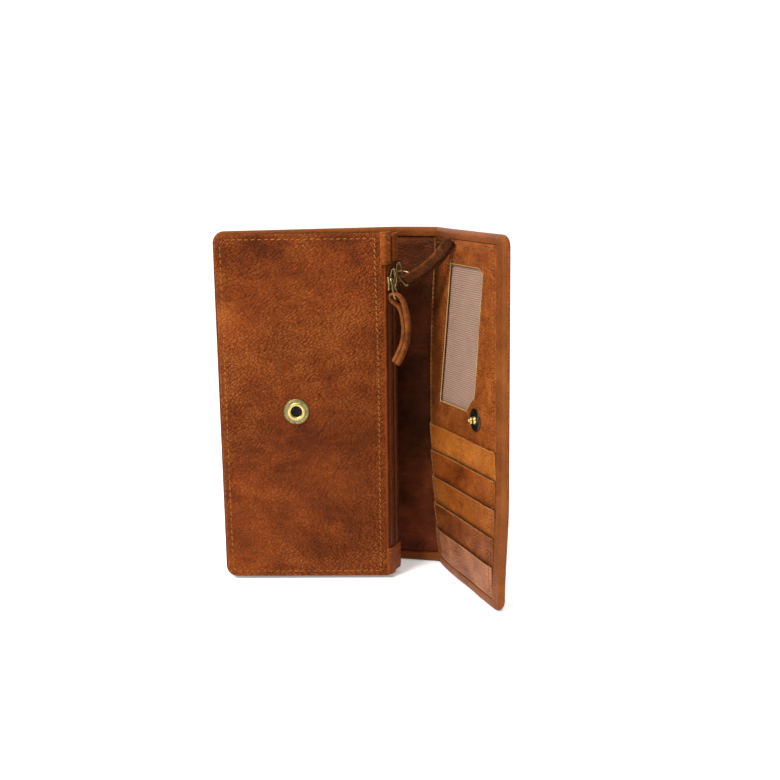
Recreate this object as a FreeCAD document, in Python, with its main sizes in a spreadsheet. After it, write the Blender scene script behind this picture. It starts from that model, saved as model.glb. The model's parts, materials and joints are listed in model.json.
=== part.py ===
import math
import os

import FreeCAD
import Part
import Sketcher

V = FreeCAD.Vector

doc = FreeCAD.newDocument("LongWallet")
sheet = doc.addObject("Spreadsheet::Sheet", "Sizes")

# Main sizes in millimetres and degrees. The wallet stands on its short end, Z is its long axis,
# X runs along the back cover and the opening faces -Y.
SIZES = {
    "cover_height": 190.0,
    "corner_radius": 5.0,
    "skin": 1.4,
    "filler": 0.9,
    "border_rise": 0.7,
    "border_width": 5.0,
    "back_left": -50.75,
    "spine_crease_x": 49.85,
    "crease_gap": 0.5,
    "spine_width": 22.36,
    "flap_length": 94.0,
    "flap_border": 8.3,
    "flap_pad": 1.4,
    "spine_angle": 34.7,
    "flap_angle": 88.3,
    "leaf_angle": 19.4,
    "leaf_hinge_x": -48.75,
    "leaf_hinge_y": -3.83,
    "leaf_height": 187.0,
    "leaf_foot": 1.5,
    "panel_start": -1.5,
    "panel_end": 87.2,
    "panel_front": 2.4,
    "panel_skin": 1.2,
    "zip_half": 3.0,
    "coil_half": 1.1,
    "coil_rise": 1.1,
    "welt_rise": 1.0,
    "snap_height": 93.6,
    "socket_from_hinge": 39.7,
    "stud_from_crease": 61.0,
    "socket_radius": 6.9,
    "stud_radius": 6.15,
    "window_left": 14.8,
    "window_right": 57.5,
    "window_foot": 96.0,
    "window_top": 172.0,
    "window_cut": 9.0,
    "window_lean": 12.5,
    "pocket_step": 14.9,
    "pocket_first": 81.4,
    "pocket_skin": 0.8,
}
for row, (alias, value) in enumerate(SIZES.items(), start=1):
    sheet.set(f"A{row}", alias)
    sheet.set(f"B{row}", str(value))
    sheet.setAlias(f"B{row}", alias)
doc.recompute()


def size(alias):
    """The value of one of the main sizes."""
    return SIZES[alias]


HEIGHT = size("cover_height")
WALL = size("skin") + size("filler")
INNER = WALL + size("border_rise")
SPINE = size("spine_width")
FLAP = size("flap_length")
EDGE_INSET = 0.4
LINING_INSET = 1.0


def frame(x, y, turn):
    """A placement at (x, y), turned so that local X leans by turn degrees towards the opening."""
    return FreeCAD.Placement(V(x, y, 0), FreeCAD.Rotation(V(0, 0, 1), -turn))


# Each cover panel is drawn flat in the frame of its crease: local X runs along the panel,
# local -Y points to the inside and the crease line is the local Z axis.
BACK = frame(0, 0, 0)
SPINE_FRAME = frame(size("spine_crease_x"), -INNER, size("spine_angle"))
FLAP_ORIGIN = SPINE_FRAME.multVec(V(SPINE, 0, 0))
FLAP_FRAME = frame(FLAP_ORIGIN.x, FLAP_ORIGIN.y, size("flap_angle"))
LEAF = frame(size("leaf_hinge_x"), size("leaf_hinge_y"), size("leaf_angle"))

nodes = []


def keep(obj, label):
    obj.Label = label
    nodes.append(obj)
    return obj


def origin_plane(body, role):
    return next(f for f in body.Origin.OriginFeatures if f.Role == role)


def draw_loop(sketch, points):
    last = len(points) - 1
    for index, start in enumerate(points):
        end = points[0] if index == last else points[index + 1]
        sketch.addGeometry(Part.LineSegment(V(*start, 0), V(*end, 0)), False)
    for index in range(len(points)):
        following = 0 if index == last else index + 1
        sketch.addConstraint(Sketcher.Constraint("Coincident", index, 2, following, 1))


def plate(label, place, outline, low, high, holes=(), link=None):
    """A flat piece: outline in local X and Z, thickness from low to high towards the inside."""
    body = doc.addObject("PartDesign::Body", label)
    sketch = body.newObject("Sketcher::SketchObject", label + "_outline")
    sketch.AttachmentSupport = [(origin_plane(body, "XZ_Plane"), "")]
    sketch.MapMode = "FlatFace"
    sketch.AttachmentOffset = FreeCAD.Placement(V(0, 0, low), FreeCAD.Rotation())
    draw_loop(sketch, outline)
    pad = body.newObject("PartDesign::Pad", label + "_pad")
    pad.Profile = sketch
    pad.Length = high - low
    if link:
        pad.setExpression("Length", link)
    for number, hole in enumerate(holes, start=1):
        cut_sketch = body.newObject("Sketcher::SketchObject", f"{label}_opening_{number}")
        cut_sketch.AttachmentSupport = [(origin_plane(body, "XZ_Plane"), "")]
        cut_sketch.MapMode = "FlatFace"
        draw_loop(cut_sketch, hole)
        pocket = body.newObject("PartDesign::Pocket", f"{label}_cut_{number}")
        pocket.Profile = cut_sketch
        pocket.Type = "ThroughAll"
        pocket.Midplane = True
    body.Placement = place
    return keep(body, label)


def prism(label, place, section, foot, top):
    """A piece of one constant section in local X and Y, standing from foot to top."""
    body = doc.addObject("PartDesign::Body", label)
    sketch = body.newObject("Sketcher::SketchObject", label + "_section")
    sketch.AttachmentSupport = [(origin_plane(body, "XY_Plane"), "")]
    sketch.MapMode = "FlatFace"
    sketch.AttachmentOffset = FreeCAD.Placement(V(0, 0, foot), FreeCAD.Rotation())
    draw_loop(sketch, section)
    pad = body.newObject("PartDesign::Pad", label + "_pad")
    pad.Profile = sketch
    pad.Length = top - foot
    body.Placement = place
    return keep(body, label)


def turned(label, place, profile):
    """A round piece: profile in local X and Z, turned about the local Z axis."""
    body = doc.addObject("PartDesign::Body", label)
    sketch = body.newObject("Sketcher::SketchObject", label + "_profile")
    sketch.AttachmentSupport = [(origin_plane(body, "XZ_Plane"), "")]
    sketch.MapMode = "FlatFace"
    draw_loop(sketch, profile)
    revolution = body.newObject("PartDesign::Revolution", label + "_turn")
    revolution.Profile = sketch
    revolution.ReferenceAxis = (sketch, ["V_Axis"])
    revolution.Angle = 360.0
    body.Placement = place
    return keep(body, label)


def rectangle(left, right, foot, top):
    """The four corners of an upright rectangle in local X and Z."""
    return [(left, foot), (right, foot), (right, top), (left, top)]


def rounded(left, right, foot, top, round_left, round_right):
    """A rectangle whose left or right corners are cut round in short steps."""
    radius = size("corner_radius")
    corners = (
        (right, foot, -1, 1, round_right, 270),
        (right, top, -1, -1, round_right, 0),
        (left, top, 1, -1, round_left, 90),
        (left, foot, 1, 1, round_left, 180),
    )
    points = []
    for x, z, side_x, side_z, is_round, start in corners:
        if not is_round:
            points.append((x, z))
            continue
        for step in range(7):
            angle = math.radians(start + 15 * step)
            centre_x = x + side_x * radius
            centre_z = z + side_z * radius
            points.append((centre_x + radius * math.cos(angle), centre_z + radius * math.sin(angle)))
    return points


def solid_feature(label, place, shape):
    """A piece made from a ready shape."""
    piece = doc.addObject("Part::Feature", label)
    piece.Shape = shape
    piece.Placement = place
    return keep(piece, label)


# ---------------------------------------------------------------- back cover
left = size("back_left")
gap = size("crease_gap")
back_end = size("spine_crease_x") - gap
rise = size("border_width")
skin = size("skin")
plate("back_outer", BACK, rounded(left, back_end, 0, HEIGHT, True, False), 0, skin, link="Sizes.skin")
lining_top = HEIGHT - LINING_INSET
back_fill = rounded(left + LINING_INSET, back_end, LINING_INSET, lining_top, True, False)
plate("back_lining", BACK, back_fill, skin, WALL, link="Sizes.filler")
border_top = HEIGHT - EDGE_INSET
border_start = left + size("corner_radius") + 1
border_high = rectangle(border_start, back_end, HEIGHT - rise, border_top)
border_low = rectangle(border_start, back_end, EDGE_INSET, rise)
plate("back_border_top", BACK, border_high, WALL, INNER)
plate("back_border_foot", BACK, border_low, WALL, INNER)


# How far the crease skin stays clear of the panels on both sides of it.
CREASE_CLEAR = 0.3


def crease(label, place, bend, foot, top):
    """The skin that rounds a crease: a wedge of a ring around the crease line on the outer side."""
    inside = INNER - skin
    lean = math.degrees(math.asin((gap - CREASE_CLEAR) / inside))
    start = 90 - bend - lean
    sweep = bend + 2 * lean
    outer = Part.Face(Part.Wire(ring_section(inside, INNER, start, sweep)))
    shape = outer.extrude(V(0, 0, top - foot))
    shape.translate(V(0, 0, foot))
    return solid_feature(label, place, shape)


def ring_section(inside, outside, start, sweep):
    """The outline of a part of a ring, from the start angle over the sweep, in degrees."""

    def at(radius, angle):
        turn = math.radians(angle)
        return V(radius * math.cos(turn), radius * math.sin(turn), 0)

    middle = start + sweep / 2
    end = start + sweep
    return [
        Part.Arc(at(outside, start), at(outside, middle), at(outside, end)).toShape(),
        Part.makeLine(at(outside, end), at(inside, end)),
        Part.Arc(at(inside, end), at(inside, middle), at(inside, start)).toShape(),
        Part.makeLine(at(inside, start), at(outside, start)),
    ]


crease_at_back = frame(size("spine_crease_x"), -INNER, 0)
crease("spine_crease_skin", crease_at_back, size("spine_angle"), EDGE_INSET, border_top)

# The seam that carries the zip leaf: a cord along the leaf's hinge line with a web to the lining.
SEAM_RADIUS = 0.9
SEAM_FOOT = 6.0
WEB_THICK = 0.8
seam_height = HEIGHT - 2 * SEAM_FOOT
cord = Part.makeCylinder(SEAM_RADIUS, seam_height, V(0, 0, SEAM_FOOT))
web_depth = -size("leaf_hinge_y") - WALL
web = Part.makeBox(WEB_THICK, web_depth, seam_height, V(-WEB_THICK / 2, 0, SEAM_FOOT))
seam = cord.fuse(web).removeSplitter()
solid_feature("leaf_seam", frame(size("leaf_hinge_x"), size("leaf_hinge_y"), 0), seam)

# ---------------------------------------------------------------- spine
spine_far = SPINE - gap
plate("spine_outer", SPINE_FRAME, rectangle(gap, spine_far, 0, HEIGHT), -INNER, skin - INNER)
spine_fill = rectangle(gap, spine_far, LINING_INSET, lining_top)
plate("spine_lining", SPINE_FRAME, spine_fill, skin - INNER, WALL - INNER)
border_high = rectangle(gap, spine_far, HEIGHT - rise, border_top)
border_low = rectangle(gap, spine_far, EDGE_INSET, rise)
plate("spine_border_top", SPINE_FRAME, border_high, WALL - INNER, 0)
plate("spine_border_foot", SPINE_FRAME, border_low, WALL - INNER, 0)
flap_bend = size("flap_angle") - size("spine_angle")
crease_at_flap = frame(FLAP_ORIGIN.x, FLAP_ORIGIN.y, size("spine_angle"))
crease("flap_crease_skin", crease_at_flap, flap_bend, EDGE_INSET, border_top)

# ---------------------------------------------------------------- flap
pad_rise = size("flap_pad")
edge = FLAP - size("flap_border")
plate("flap_outer", FLAP_FRAME, rounded(gap, FLAP, 0, HEIGHT, False, True), -INNER, skin - INNER)
board_inset = 0.6
flap_fill = rounded(gap, FLAP - board_inset, board_inset, HEIGHT - board_inset, False, True)
plate("flap_padding", FLAP_FRAME, flap_fill, skin - INNER, 0)
edge_loop = rounded(edge, FLAP - 0.3, EDGE_INSET, border_top, False, True)
plate("flap_border_edge", FLAP_FRAME, edge_loop, 0, pad_rise, link="Sizes.flap_pad")
fold_clear = 2.5
border_high = rectangle(fold_clear, edge, HEIGHT - rise, border_top)
border_low = rectangle(fold_clear, edge, EDGE_INSET, rise)
plate("flap_border_top", FLAP_FRAME, border_high, 0, pad_rise)
plate("flap_border_foot", FLAP_FRAME, border_low, 0, pad_rise)

inner_gap = 0.4
panel_left = 3.0
panel_right = edge - inner_gap
panel_low = rise + inner_gap
panel_high = HEIGHT - rise - inner_gap
backing = 0.4
backing_loop = rectangle(panel_left, panel_right, panel_low, panel_high)
plate("card_backing", FLAP_FRAME, backing_loop, 0, backing)

# The window: a slanted opening with one cut lower corner, over a ribbed lining and a clear film.
cut = size("window_cut")
window_left = size("window_left")
window_right = size("window_right")
window_foot = size("window_foot")
window_top = size("window_top")
window_lean = size("window_lean")
cut_lean = window_lean * cut / (window_top - window_foot)


def window(grow):
    """The window's outline, grown by that much on all sides."""
    return [
        (window_left - grow, window_foot - grow),
        (window_right - cut, window_foot - grow),
        (window_right + grow + cut_lean, window_foot + cut),
        (window_right + grow + window_lean, window_top + grow),
        (window_left - grow + window_lean, window_top + grow),
    ]


WINDOW_LAP = 1.6
LINING_FACE = 0.7
FILM_FACE = 0.9
ID_FACE = 1.7
id_foot = size("pocket_first") - 0.5
id_panel = rectangle(panel_left, panel_right, id_foot, panel_high)
plate("id_window_lining", FLAP_FRAME, window(WINDOW_LAP), backing, LINING_FACE)
plate("id_window_film", FLAP_FRAME, window(WINDOW_LAP), LINING_FACE, FILM_FACE)
plate("id_panel", FLAP_FRAME, id_panel, FILM_FACE, ID_FACE, holes=[window(0)])

# Card pockets: each leans out towards its mouth and its foot tucks under the next one.
step = size("pocket_step")
first = size("pocket_first")
pocket_skin = size("pocket_skin")
POCKETS = 5
POCKET_TUCK = 4.0
top_level = 1.75
foot_level = 0.45
for number in range(POCKETS):
    top = first - number * step
    is_last = number == POCKETS - 1
    foot = panel_low if is_last else top - step - POCKET_TUCK
    body_name = f"card_pocket_{number + 1}"
    profile = [
        V(panel_left, -foot_level, foot),
        V(panel_left, -foot_level - pocket_skin, foot),
        V(panel_left, -top_level - pocket_skin, top),
        V(panel_left, -top_level, top),
    ]
    face = Part.Face(Part.makePolygon(profile + [profile[0]]))
    solid_feature(body_name, FLAP_FRAME, face.extrude(V(panel_right - panel_left, 0, 0)))

# Snap stud: a dished disc and a post on the inside, a plain cap on the outside.
stud_place = FLAP_FRAME.multiply(
    FreeCAD.Placement(V(size("stud_from_crease"), 0, size("snap_height")), FreeCAD.Rotation(V(1, 0, 0), 90))
)
stud_radius = size("stud_radius")
disc_low = 1.7
disc_profile = [
    (0, disc_low),
    (stud_radius, disc_low),
    (stud_radius, disc_low + 0.5),
    (stud_radius - 0.9, disc_low + 1.0),
    (2.3, disc_low + 0.8),
    (0, disc_low + 0.8),
]
turned("snap_stud_disc", stud_place, disc_profile)
post_low = disc_low + 0.8
post_profile = [
    (0, post_low),
    (2.2, post_low),
    (1.6, post_low + 0.5),
    (1.5, post_low + 1.6),
    (1.8, post_low + 2.1),
    (1.2, post_low + 2.7),
    (0, post_low + 2.9),
]
turned("snap_stud_post", stud_place, post_profile)
cap_profile = [(0, -INNER), (6.2, -INNER), (5.8, -INNER - 0.6), (3.4, -INNER - 1.2), (0, -INNER - 1.4)]
turned("snap_cap", stud_place, cap_profile)

# ---------------------------------------------------------------- zip leaf
front = size("panel_front")
panel_skin = size("panel_skin")
leaf_foot = size("leaf_foot")
leaf_top = leaf_foot + size("leaf_height")
start = size("panel_start")
end = size("panel_end")
socket_x = size("socket_from_hinge")
snap_z = size("snap_height")
front_loop = rounded(start, end, leaf_foot, leaf_top, True, False)
HOLE_SIDES = 24
HOLE_RADIUS = 3.3
socket_hole = []
for side in range(HOLE_SIDES):
    angle = 2 * math.pi * side / HOLE_SIDES
    along = socket_x + HOLE_RADIUS * math.cos(angle)
    socket_hole.append((along, snap_z + HOLE_RADIUS * math.sin(angle)))
plate("front_panel", LEAF, front_loop, front - panel_skin, front, holes=[socket_hole])
pocket_foot = 5.0
pocket_top = HEIGHT - pocket_foot
pocket_loop = rectangle(2.2, end - 0.5, pocket_foot, pocket_top)
plate("front_lining", LEAF, pocket_loop, 0.8, front - panel_skin, holes=[socket_hole])

# The walls of the two zip pockets fan out from the seam; their sections are (along, back).
divider = [(3.0, -0.45), (89.7, 4.85), (89.6, 5.6), (3.0, 0.05)]
prism("pocket_divider", LEAF, divider, 6, 184)
rear = [(3.0, 0.1), (93.4, 12.1), (93.2, 13.1), (3.0, 0.8)]
prism("rear_panel", LEAF, rear, 3.5, 186.5)
wedge = [(3.4, -0.75), (86.5, -0.75), (91.6, 11.6), (3.4, 0.1)]
prism("top_gusset", LEAF, wedge, 184.1, 185.1)
prism("foot_gusset", LEAF, wedge, 4.9, 5.9)


def zip_frame(along, across, turn):
    """Local X runs across the zip, local -Y points out of the mouth, Z runs along the chain."""
    here = FreeCAD.Placement(V(along, -across, 0), FreeCAD.Rotation(V(0, 0, 1), turn))
    return LEAF.multiply(here)


ZIP_1_TURN = 60.0
ZIP_2_TURN = 67.0
ZIPS = (
    {"number": 1, "place": zip_frame(89.2, -1.6, ZIP_1_TURN), "slider": 161.8, "tab": 170.5},
    {"number": 2, "place": zip_frame(91.8, -8.4, ZIP_2_TURN), "slider": 164.5, "tab": 173.0},
)
zip_half = size("zip_half")
coil_half = size("coil_half")
coil_rise = size("coil_rise")
welt_rise = size("welt_rise")
TAPE_FOOT = 3.0
TAPE_TOP = 187.0
TAPE_THICK = 0.6
WELT_NEAR = 2.2
WELT_FAR = 3.3
TAB_HALF = 3.2
TAB_FOOT_START = 2.8
TAB_FOOT_END = 17.5
TAB_TOP_END = 188.2
tab_face = welt_rise + 0.9
for one in ZIPS:
    number = one["number"]
    place = one["place"]
    tape_span = rectangle(-zip_half, zip_half, TAPE_FOOT, TAPE_TOP)
    plate(f"zip_tape_{number}", place, tape_span, -TAPE_THICK, 0)
    coil_span = rectangle(-coil_half, coil_half, TAB_FOOT_END + 0.7, one["tab"] - 0.7)
    plate(f"zip_coil_{number}", place, coil_span, 0, coil_rise, link="Sizes.coil_rise")
    front_welt = rectangle(-WELT_FAR, -WELT_NEAR, TAPE_FOOT, TAPE_TOP)
    rear_welt = rectangle(WELT_NEAR, WELT_FAR, TAPE_FOOT, TAPE_TOP)
    plate(f"zip_welt_{number}_front", place, front_welt, 0, welt_rise)
    plate(f"zip_welt_{number}_rear", place, rear_welt, 0, welt_rise)
    top_tab = rectangle(-TAB_HALF, TAB_HALF, one["tab"], TAB_TOP_END)
    foot_tab = rectangle(-TAB_HALF, TAB_HALF, TAB_FOOT_START, TAB_FOOT_END)
    plate(f"zip_tab_{number}_top", place, top_tab, welt_rise, tab_face)
    plate(f"zip_tab_{number}_foot", place, foot_tab, welt_rise, tab_face)


def wire(points, radius):
    """A round wire through the points, with its corners rounded by balls."""
    parts = []
    for index in range(len(points) - 1):
        low = points[index]
        high = points[index + 1]
        run = high.sub(low)
        parts.append(Part.makeCylinder(radius, run.Length, low, run))
    for point in points:
        parts.append(Part.makeSphere(radius, point))
    return parts[0].fuse(parts[1:]).removeSplitter()


# Sliders: a deck on two rails that straddle the coil, with a wire bail over the deck.
DECK_WIDE = 5.4
DECK_THICK = 1.0
DECK_FACE = 2.5
SLIDER_LONG = 7.4
RAIL_WIDE = 0.6
RAIL_DEEP = 2.2
RAIL_STARTS = (-2.05, 1.45)
BAIL_RADIUS = 0.4
for one in ZIPS:
    number = one["number"]
    place = one["place"]
    slider_z = one["slider"]
    slider_foot = slider_z - SLIDER_LONG / 2
    deck = Part.makeBox(DECK_WIDE, DECK_THICK, SLIDER_LONG, V(-DECK_WIDE / 2, -DECK_FACE, slider_foot))
    rails = []
    for x in RAIL_STARTS:
        rails.append(Part.makeBox(RAIL_WIDE, RAIL_DEEP, SLIDER_LONG, V(x, -DECK_FACE, slider_foot)))
    block = deck.fuse(rails).removeSplitter()
    solid_feature(f"slider_{number}_block", place, block)
    arch = wire(
        [
            V(0, -DECK_FACE, slider_z - 2.6),
            V(0, -4.4, slider_z - 2.0),
            V(0, -5.7, slider_z + 0.6),
            V(0, -5.6, slider_z + 4.4),
            V(0, -4.3, slider_z + 7.4),
            V(0, -3.1, slider_z + 7.0),
            V(0, -DECK_FACE, slider_z + 3.2),
        ],
        BAIL_RADIUS,
    )
    trim = Part.makeBox(4, 4, 18, V(-2, -DECK_FACE, slider_z - 8))
    solid_feature(f"slider_{number}_bail", place, arch.cut(trim))


def link_loop(reach, half_near, half_far, radius):
    """A closed wire loop in the local X and Z plane that starts at the pivot and hangs along -Z."""
    corners = [
        V(-half_near, 0, 0),
        V(half_near, 0, 0),
        V(half_far, 0, -reach),
        V(-half_far, 0, -reach),
        V(-half_near, 0, 0),
    ]
    return wire(corners, radius)


# The pivot of both pulls, inside the bail's loop: outwards from the zip and above the slider's middle.
PIVOT_OUT = 3.15
PIVOT_Z = 1.7
LINK_RADIUS = 0.5
LINK_1_REACH = 9.4
LINK_2_REACH = 6.4


def pull_frame(one, hang):
    """Hang is the angle of the pull below level, 90 is straight down along the zip."""
    at = V(0, -PIVOT_OUT, one["slider"] + PIVOT_Z)
    swing = FreeCAD.Rotation(V(1, 0, 0), hang - 90)
    return one["place"].multiply(FreeCAD.Placement(at, swing))


def strap(points, thickness, width):
    """A band whose centre line runs through the points in local Y and Z, extruded along X."""
    upper = []
    lower = []
    last = len(points) - 1
    for index, (y, z) in enumerate(points):
        before = points[max(index - 1, 0)]
        after = points[min(index + 1, last)]
        run_y = after[0] - before[0]
        run_z = after[1] - before[1]
        length = math.hypot(run_y, run_z)
        shift_y = -run_z / length * thickness / 2
        shift_z = run_y / length * thickness / 2
        upper.append(V(-width / 2, y + shift_y, z + shift_z))
        lower.append(V(-width / 2, y - shift_y, z - shift_z))
    loop = upper + lower[::-1]
    face = Part.Face(Part.makePolygon(loop + [loop[0]]))
    return face.extrude(V(width, 0, 0))


# The straps' centre lines are (out, up) from their links, with out negative.
# Pull 1 hangs nearly straight down, pull 2 sticks out of the mouth with its strap curving up.
RING_1 = pull_frame(ZIPS[0], 76.0)
solid_feature("pull_ring_1", RING_1, link_loop(LINK_1_REACH, 1.0, 1.9, LINK_RADIUS))
STRAP_1 = pull_frame(ZIPS[0], 82.0)
strap_1_path = [(0.4, -10.9), (-1.6, -18.0), (-2.6, -26.0), (-1.8, -35.0), (0.6, -44.5)]
solid_feature("pull_strap_1", STRAP_1, strap(strap_1_path, 2.6, 4.6))

RING_2 = pull_frame(ZIPS[1], 25.0)
solid_feature("pull_ring_2", RING_2, link_loop(LINK_2_REACH, 1.0, 2.2, LINK_RADIUS))
RING_2_END = RING_2.multVec(V(0, 0, -LINK_2_REACH))
zip_turn = size("leaf_angle") - ZIP_2_TURN
STRAP_2 = FreeCAD.Placement(RING_2_END, FreeCAD.Rotation(V(0, 0, 1), -zip_turn))
strap_2_path = [(-1.8, 0.2), (-8.0, 2.2), (-14.0, 6.4), (-18.6, 12.4), (-21.0, 18.6)]
solid_feature("pull_strap_2", STRAP_2, strap(strap_2_path, 4.8, 2.8))

# Snap socket: a ring cap on the front panel and a cup through it.
socket_place = LEAF.multiply(
    FreeCAD.Placement(V(socket_x, 0, snap_z), FreeCAD.Rotation(V(1, 0, 0), 90))
)
outside = size("socket_radius")
ring_profile = [
    (3.1, front),
    (outside, front),
    (outside, front + 0.5),
    (outside - 0.8, front + 1.0),
    (4.2, front + 1.1),
    (3.7, front + 1.4),
    (3.1, front + 1.1),
]
turned("snap_socket_ring", socket_place, ring_profile)
cup_profile = [(0, 0.9), (3.1, 0.9), (3.1, front + 0.9), (2.7, front + 0.9), (2.7, 1.3), (0, 1.3)]
turned("snap_socket_cup", socket_place, cup_profile)

doc.recompute()
problems = []
for obj in doc.Objects:
    if "Invalid" in obj.State or "Error" in obj.State:
        problems.append(f"{obj.Name}: {obj.State}")
for obj in nodes:
    shape = obj.Shape
    if shape.isNull() or not shape.isValid():
        problems.append(f"{obj.Label}: no valid shape")
    elif len(shape.Solids) != 1:
        problems.append(f"{obj.Label}: {len(shape.Solids)} solids")
if problems:
    raise RuntimeError("; ".join(problems))

os.makedirs("parts", exist_ok=True)
for obj in nodes:
    obj.Shape.exportStep(f"parts/{obj.Label}.step")
print(len(nodes), "pieces written")
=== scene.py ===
import json
import math

import bmesh
import bpy
import numpy as np
from mathutils import Matrix, Vector


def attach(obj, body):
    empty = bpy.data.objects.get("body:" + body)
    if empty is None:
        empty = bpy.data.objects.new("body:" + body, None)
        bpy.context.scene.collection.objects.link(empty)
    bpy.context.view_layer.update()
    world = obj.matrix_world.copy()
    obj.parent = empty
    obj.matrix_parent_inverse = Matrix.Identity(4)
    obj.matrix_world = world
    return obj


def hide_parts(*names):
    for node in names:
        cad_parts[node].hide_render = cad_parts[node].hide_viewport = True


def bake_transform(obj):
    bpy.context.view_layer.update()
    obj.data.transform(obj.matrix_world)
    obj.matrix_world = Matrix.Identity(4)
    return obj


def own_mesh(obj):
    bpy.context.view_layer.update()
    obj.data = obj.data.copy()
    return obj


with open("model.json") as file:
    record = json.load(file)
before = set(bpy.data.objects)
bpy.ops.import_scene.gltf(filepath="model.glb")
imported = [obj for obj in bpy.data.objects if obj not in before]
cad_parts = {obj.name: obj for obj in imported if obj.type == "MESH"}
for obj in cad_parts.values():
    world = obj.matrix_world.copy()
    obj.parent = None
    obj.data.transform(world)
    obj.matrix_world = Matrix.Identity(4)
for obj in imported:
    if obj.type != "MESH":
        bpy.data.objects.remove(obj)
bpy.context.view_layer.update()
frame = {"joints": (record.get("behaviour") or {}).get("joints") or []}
JOINTS = {joint["name"]: joint for joint in frame["joints"]}
MM = 0.001

# ------------------------------------------------------------------ frames


def joint_xy(name):
    x, y, _ = JOINTS[name]["pos_m"]
    return x / MM, y / MM


class Flat:
    """A flat panel's frame: u along the panel, n towards the inside, z up, all in millimetres."""

    def __init__(self, x, y, turn):
        self.x, self.y, self.turn = x, y, turn
        angle = math.radians(turn)
        self.along = np.array([math.cos(angle), -math.sin(angle)])
        self.inward = np.array([-math.sin(angle), -math.cos(angle)])

    def world(self, u, n, z):
        u, n, z = np.broadcast_arrays(u, n, z)
        out = np.empty(u.shape + (3,))
        out[..., 0] = self.x + u * self.along[0] + n * self.inward[0]
        out[..., 1] = self.y + u * self.along[1] + n * self.inward[1]
        out[..., 2] = z
        return out * MM

    def point(self, u, n, z):
        return Vector(self.world(float(u), float(n), float(z)))

    def direction(self, u, n):
        return self.point(u, n, 0) - self.point(0, 0, 0)

    def child(self, u, n, turn):
        here = self.world(float(u), float(n), 0.0) / MM
        return Flat(here[0], here[1], self.turn + turn)


class Strip:
    """The cover unrolled: s runs over back, spine and flap, n towards the inside, z up."""

    def __init__(self, start, creases, turns, radii, end):
        self.parts = []
        x, y = start
        s = 0.0
        turn = 0.0
        for (cx, cy), next_turn, radius in zip(creases, turns, radii):
            reach = math.hypot(cx - x, cy - y)
            bend = next_turn - turn
            tangent = radius * math.tan(math.radians(bend) / 2)
            self.parts.append(("flat", s, s + reach - tangent, Flat(x, y, turn), s))
            arc_start = Flat(x, y, turn).world(reach - tangent, 0.0, 0.0) / MM
            self.parts.append(
                ("arc", s + reach - tangent, s + reach + tangent, arc_start, turn, bend, radius)
            )
            s += reach
            x, y, turn = cx, cy, next_turn
        self.parts.append(("flat", s, end, Flat(x, y, turn), s))
        self.crease_s = [part[2] for part in self.parts if part[0] == "arc"]

    def world(self, s, n, z):
        s, n, z = np.broadcast_arrays(s, n, z)
        out = np.empty(s.shape + (3,))
        for index, part in enumerate(self.parts):
            low = -1e9 if index == 0 else part[1]
            high = 1e9 if index == len(self.parts) - 1 else part[2]
            mask = (s >= low) & (s < high)
            if not mask.any():
                continue
            if part[0] == "flat":
                place, zero = part[3], part[4]
                out[mask] = place.world(s[mask] - zero, n[mask], z[mask])
                continue
            _, start, stop, base, turn, bend, radius = part
            first = math.radians(turn)
            centre = base[:2] + radius * np.array([-math.sin(first), -math.cos(first)])
            angle = np.radians(turn + bend * (s[mask] - start) / (stop - start))
            spoke = radius - n[mask]
            piece = np.empty(angle.shape + (3,))
            piece[:, 0] = centre[0] + spoke * np.sin(angle)
            piece[:, 1] = centre[1] + spoke * np.cos(angle)
            piece[:, 2] = z[mask]
            out[mask] = piece * MM
        return out

    def point(self, s, n, z):
        return Vector(self.world(np.array([float(s)]), float(n), float(z))[0])


def ease(value):
    """A smooth step from 0 to 1."""
    value = np.clip(value, 0.0, 1.0)
    return value * value * (3 - 2 * value)


# The plan direction in which sheets are pushed out of true.
PUSH_X = 0.951
PUSH_Y = -0.310


class Shaped:
    """A frame whose sheets are pulled a little out of true: shift_u slides along, push moves in plan."""

    def __init__(self, base, shift_u=None, push=None):
        self.base = base
        self.shift_u = shift_u
        self.push = push

    def world(self, u, n, z):
        u, n, z = np.broadcast_arrays(np.asarray(u, float), n, z)
        moved = u + self.shift_u(u, z) if self.shift_u else u
        out = self.base.world(moved, n, z)
        if self.push:
            amount = self.push(u, z)
            out[..., 0] += amount * PUSH_X * MM
            out[..., 1] += amount * PUSH_Y * MM
        return out

    def point(self, u, n, z):
        return Vector(self.world(np.array([float(u)]), float(n), float(z))[0])


# The line of the fold between spine and flap: how far it wanders at some heights, in millimetres.
BOW_Z = [0, 9, 23, 49, 70, 87, 110, 143, 167, 190]
BOW = [2.4, 2.2, 0.9, -0.7, -1.8, -2.1, -2.1, -1.4, 0.1, 1.0]


def crease_bow(z):
    """How far the fold between spine and flap wanders from a straight line."""
    nudges = (-9.0, -4.5, 0.0, 4.5, 9.0)
    total = 0.0
    for nudge in nudges:
        total = total + np.interp(np.asarray(z, float) + nudge, BOW_Z, BOW)
    return total / len(nudges)


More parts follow.
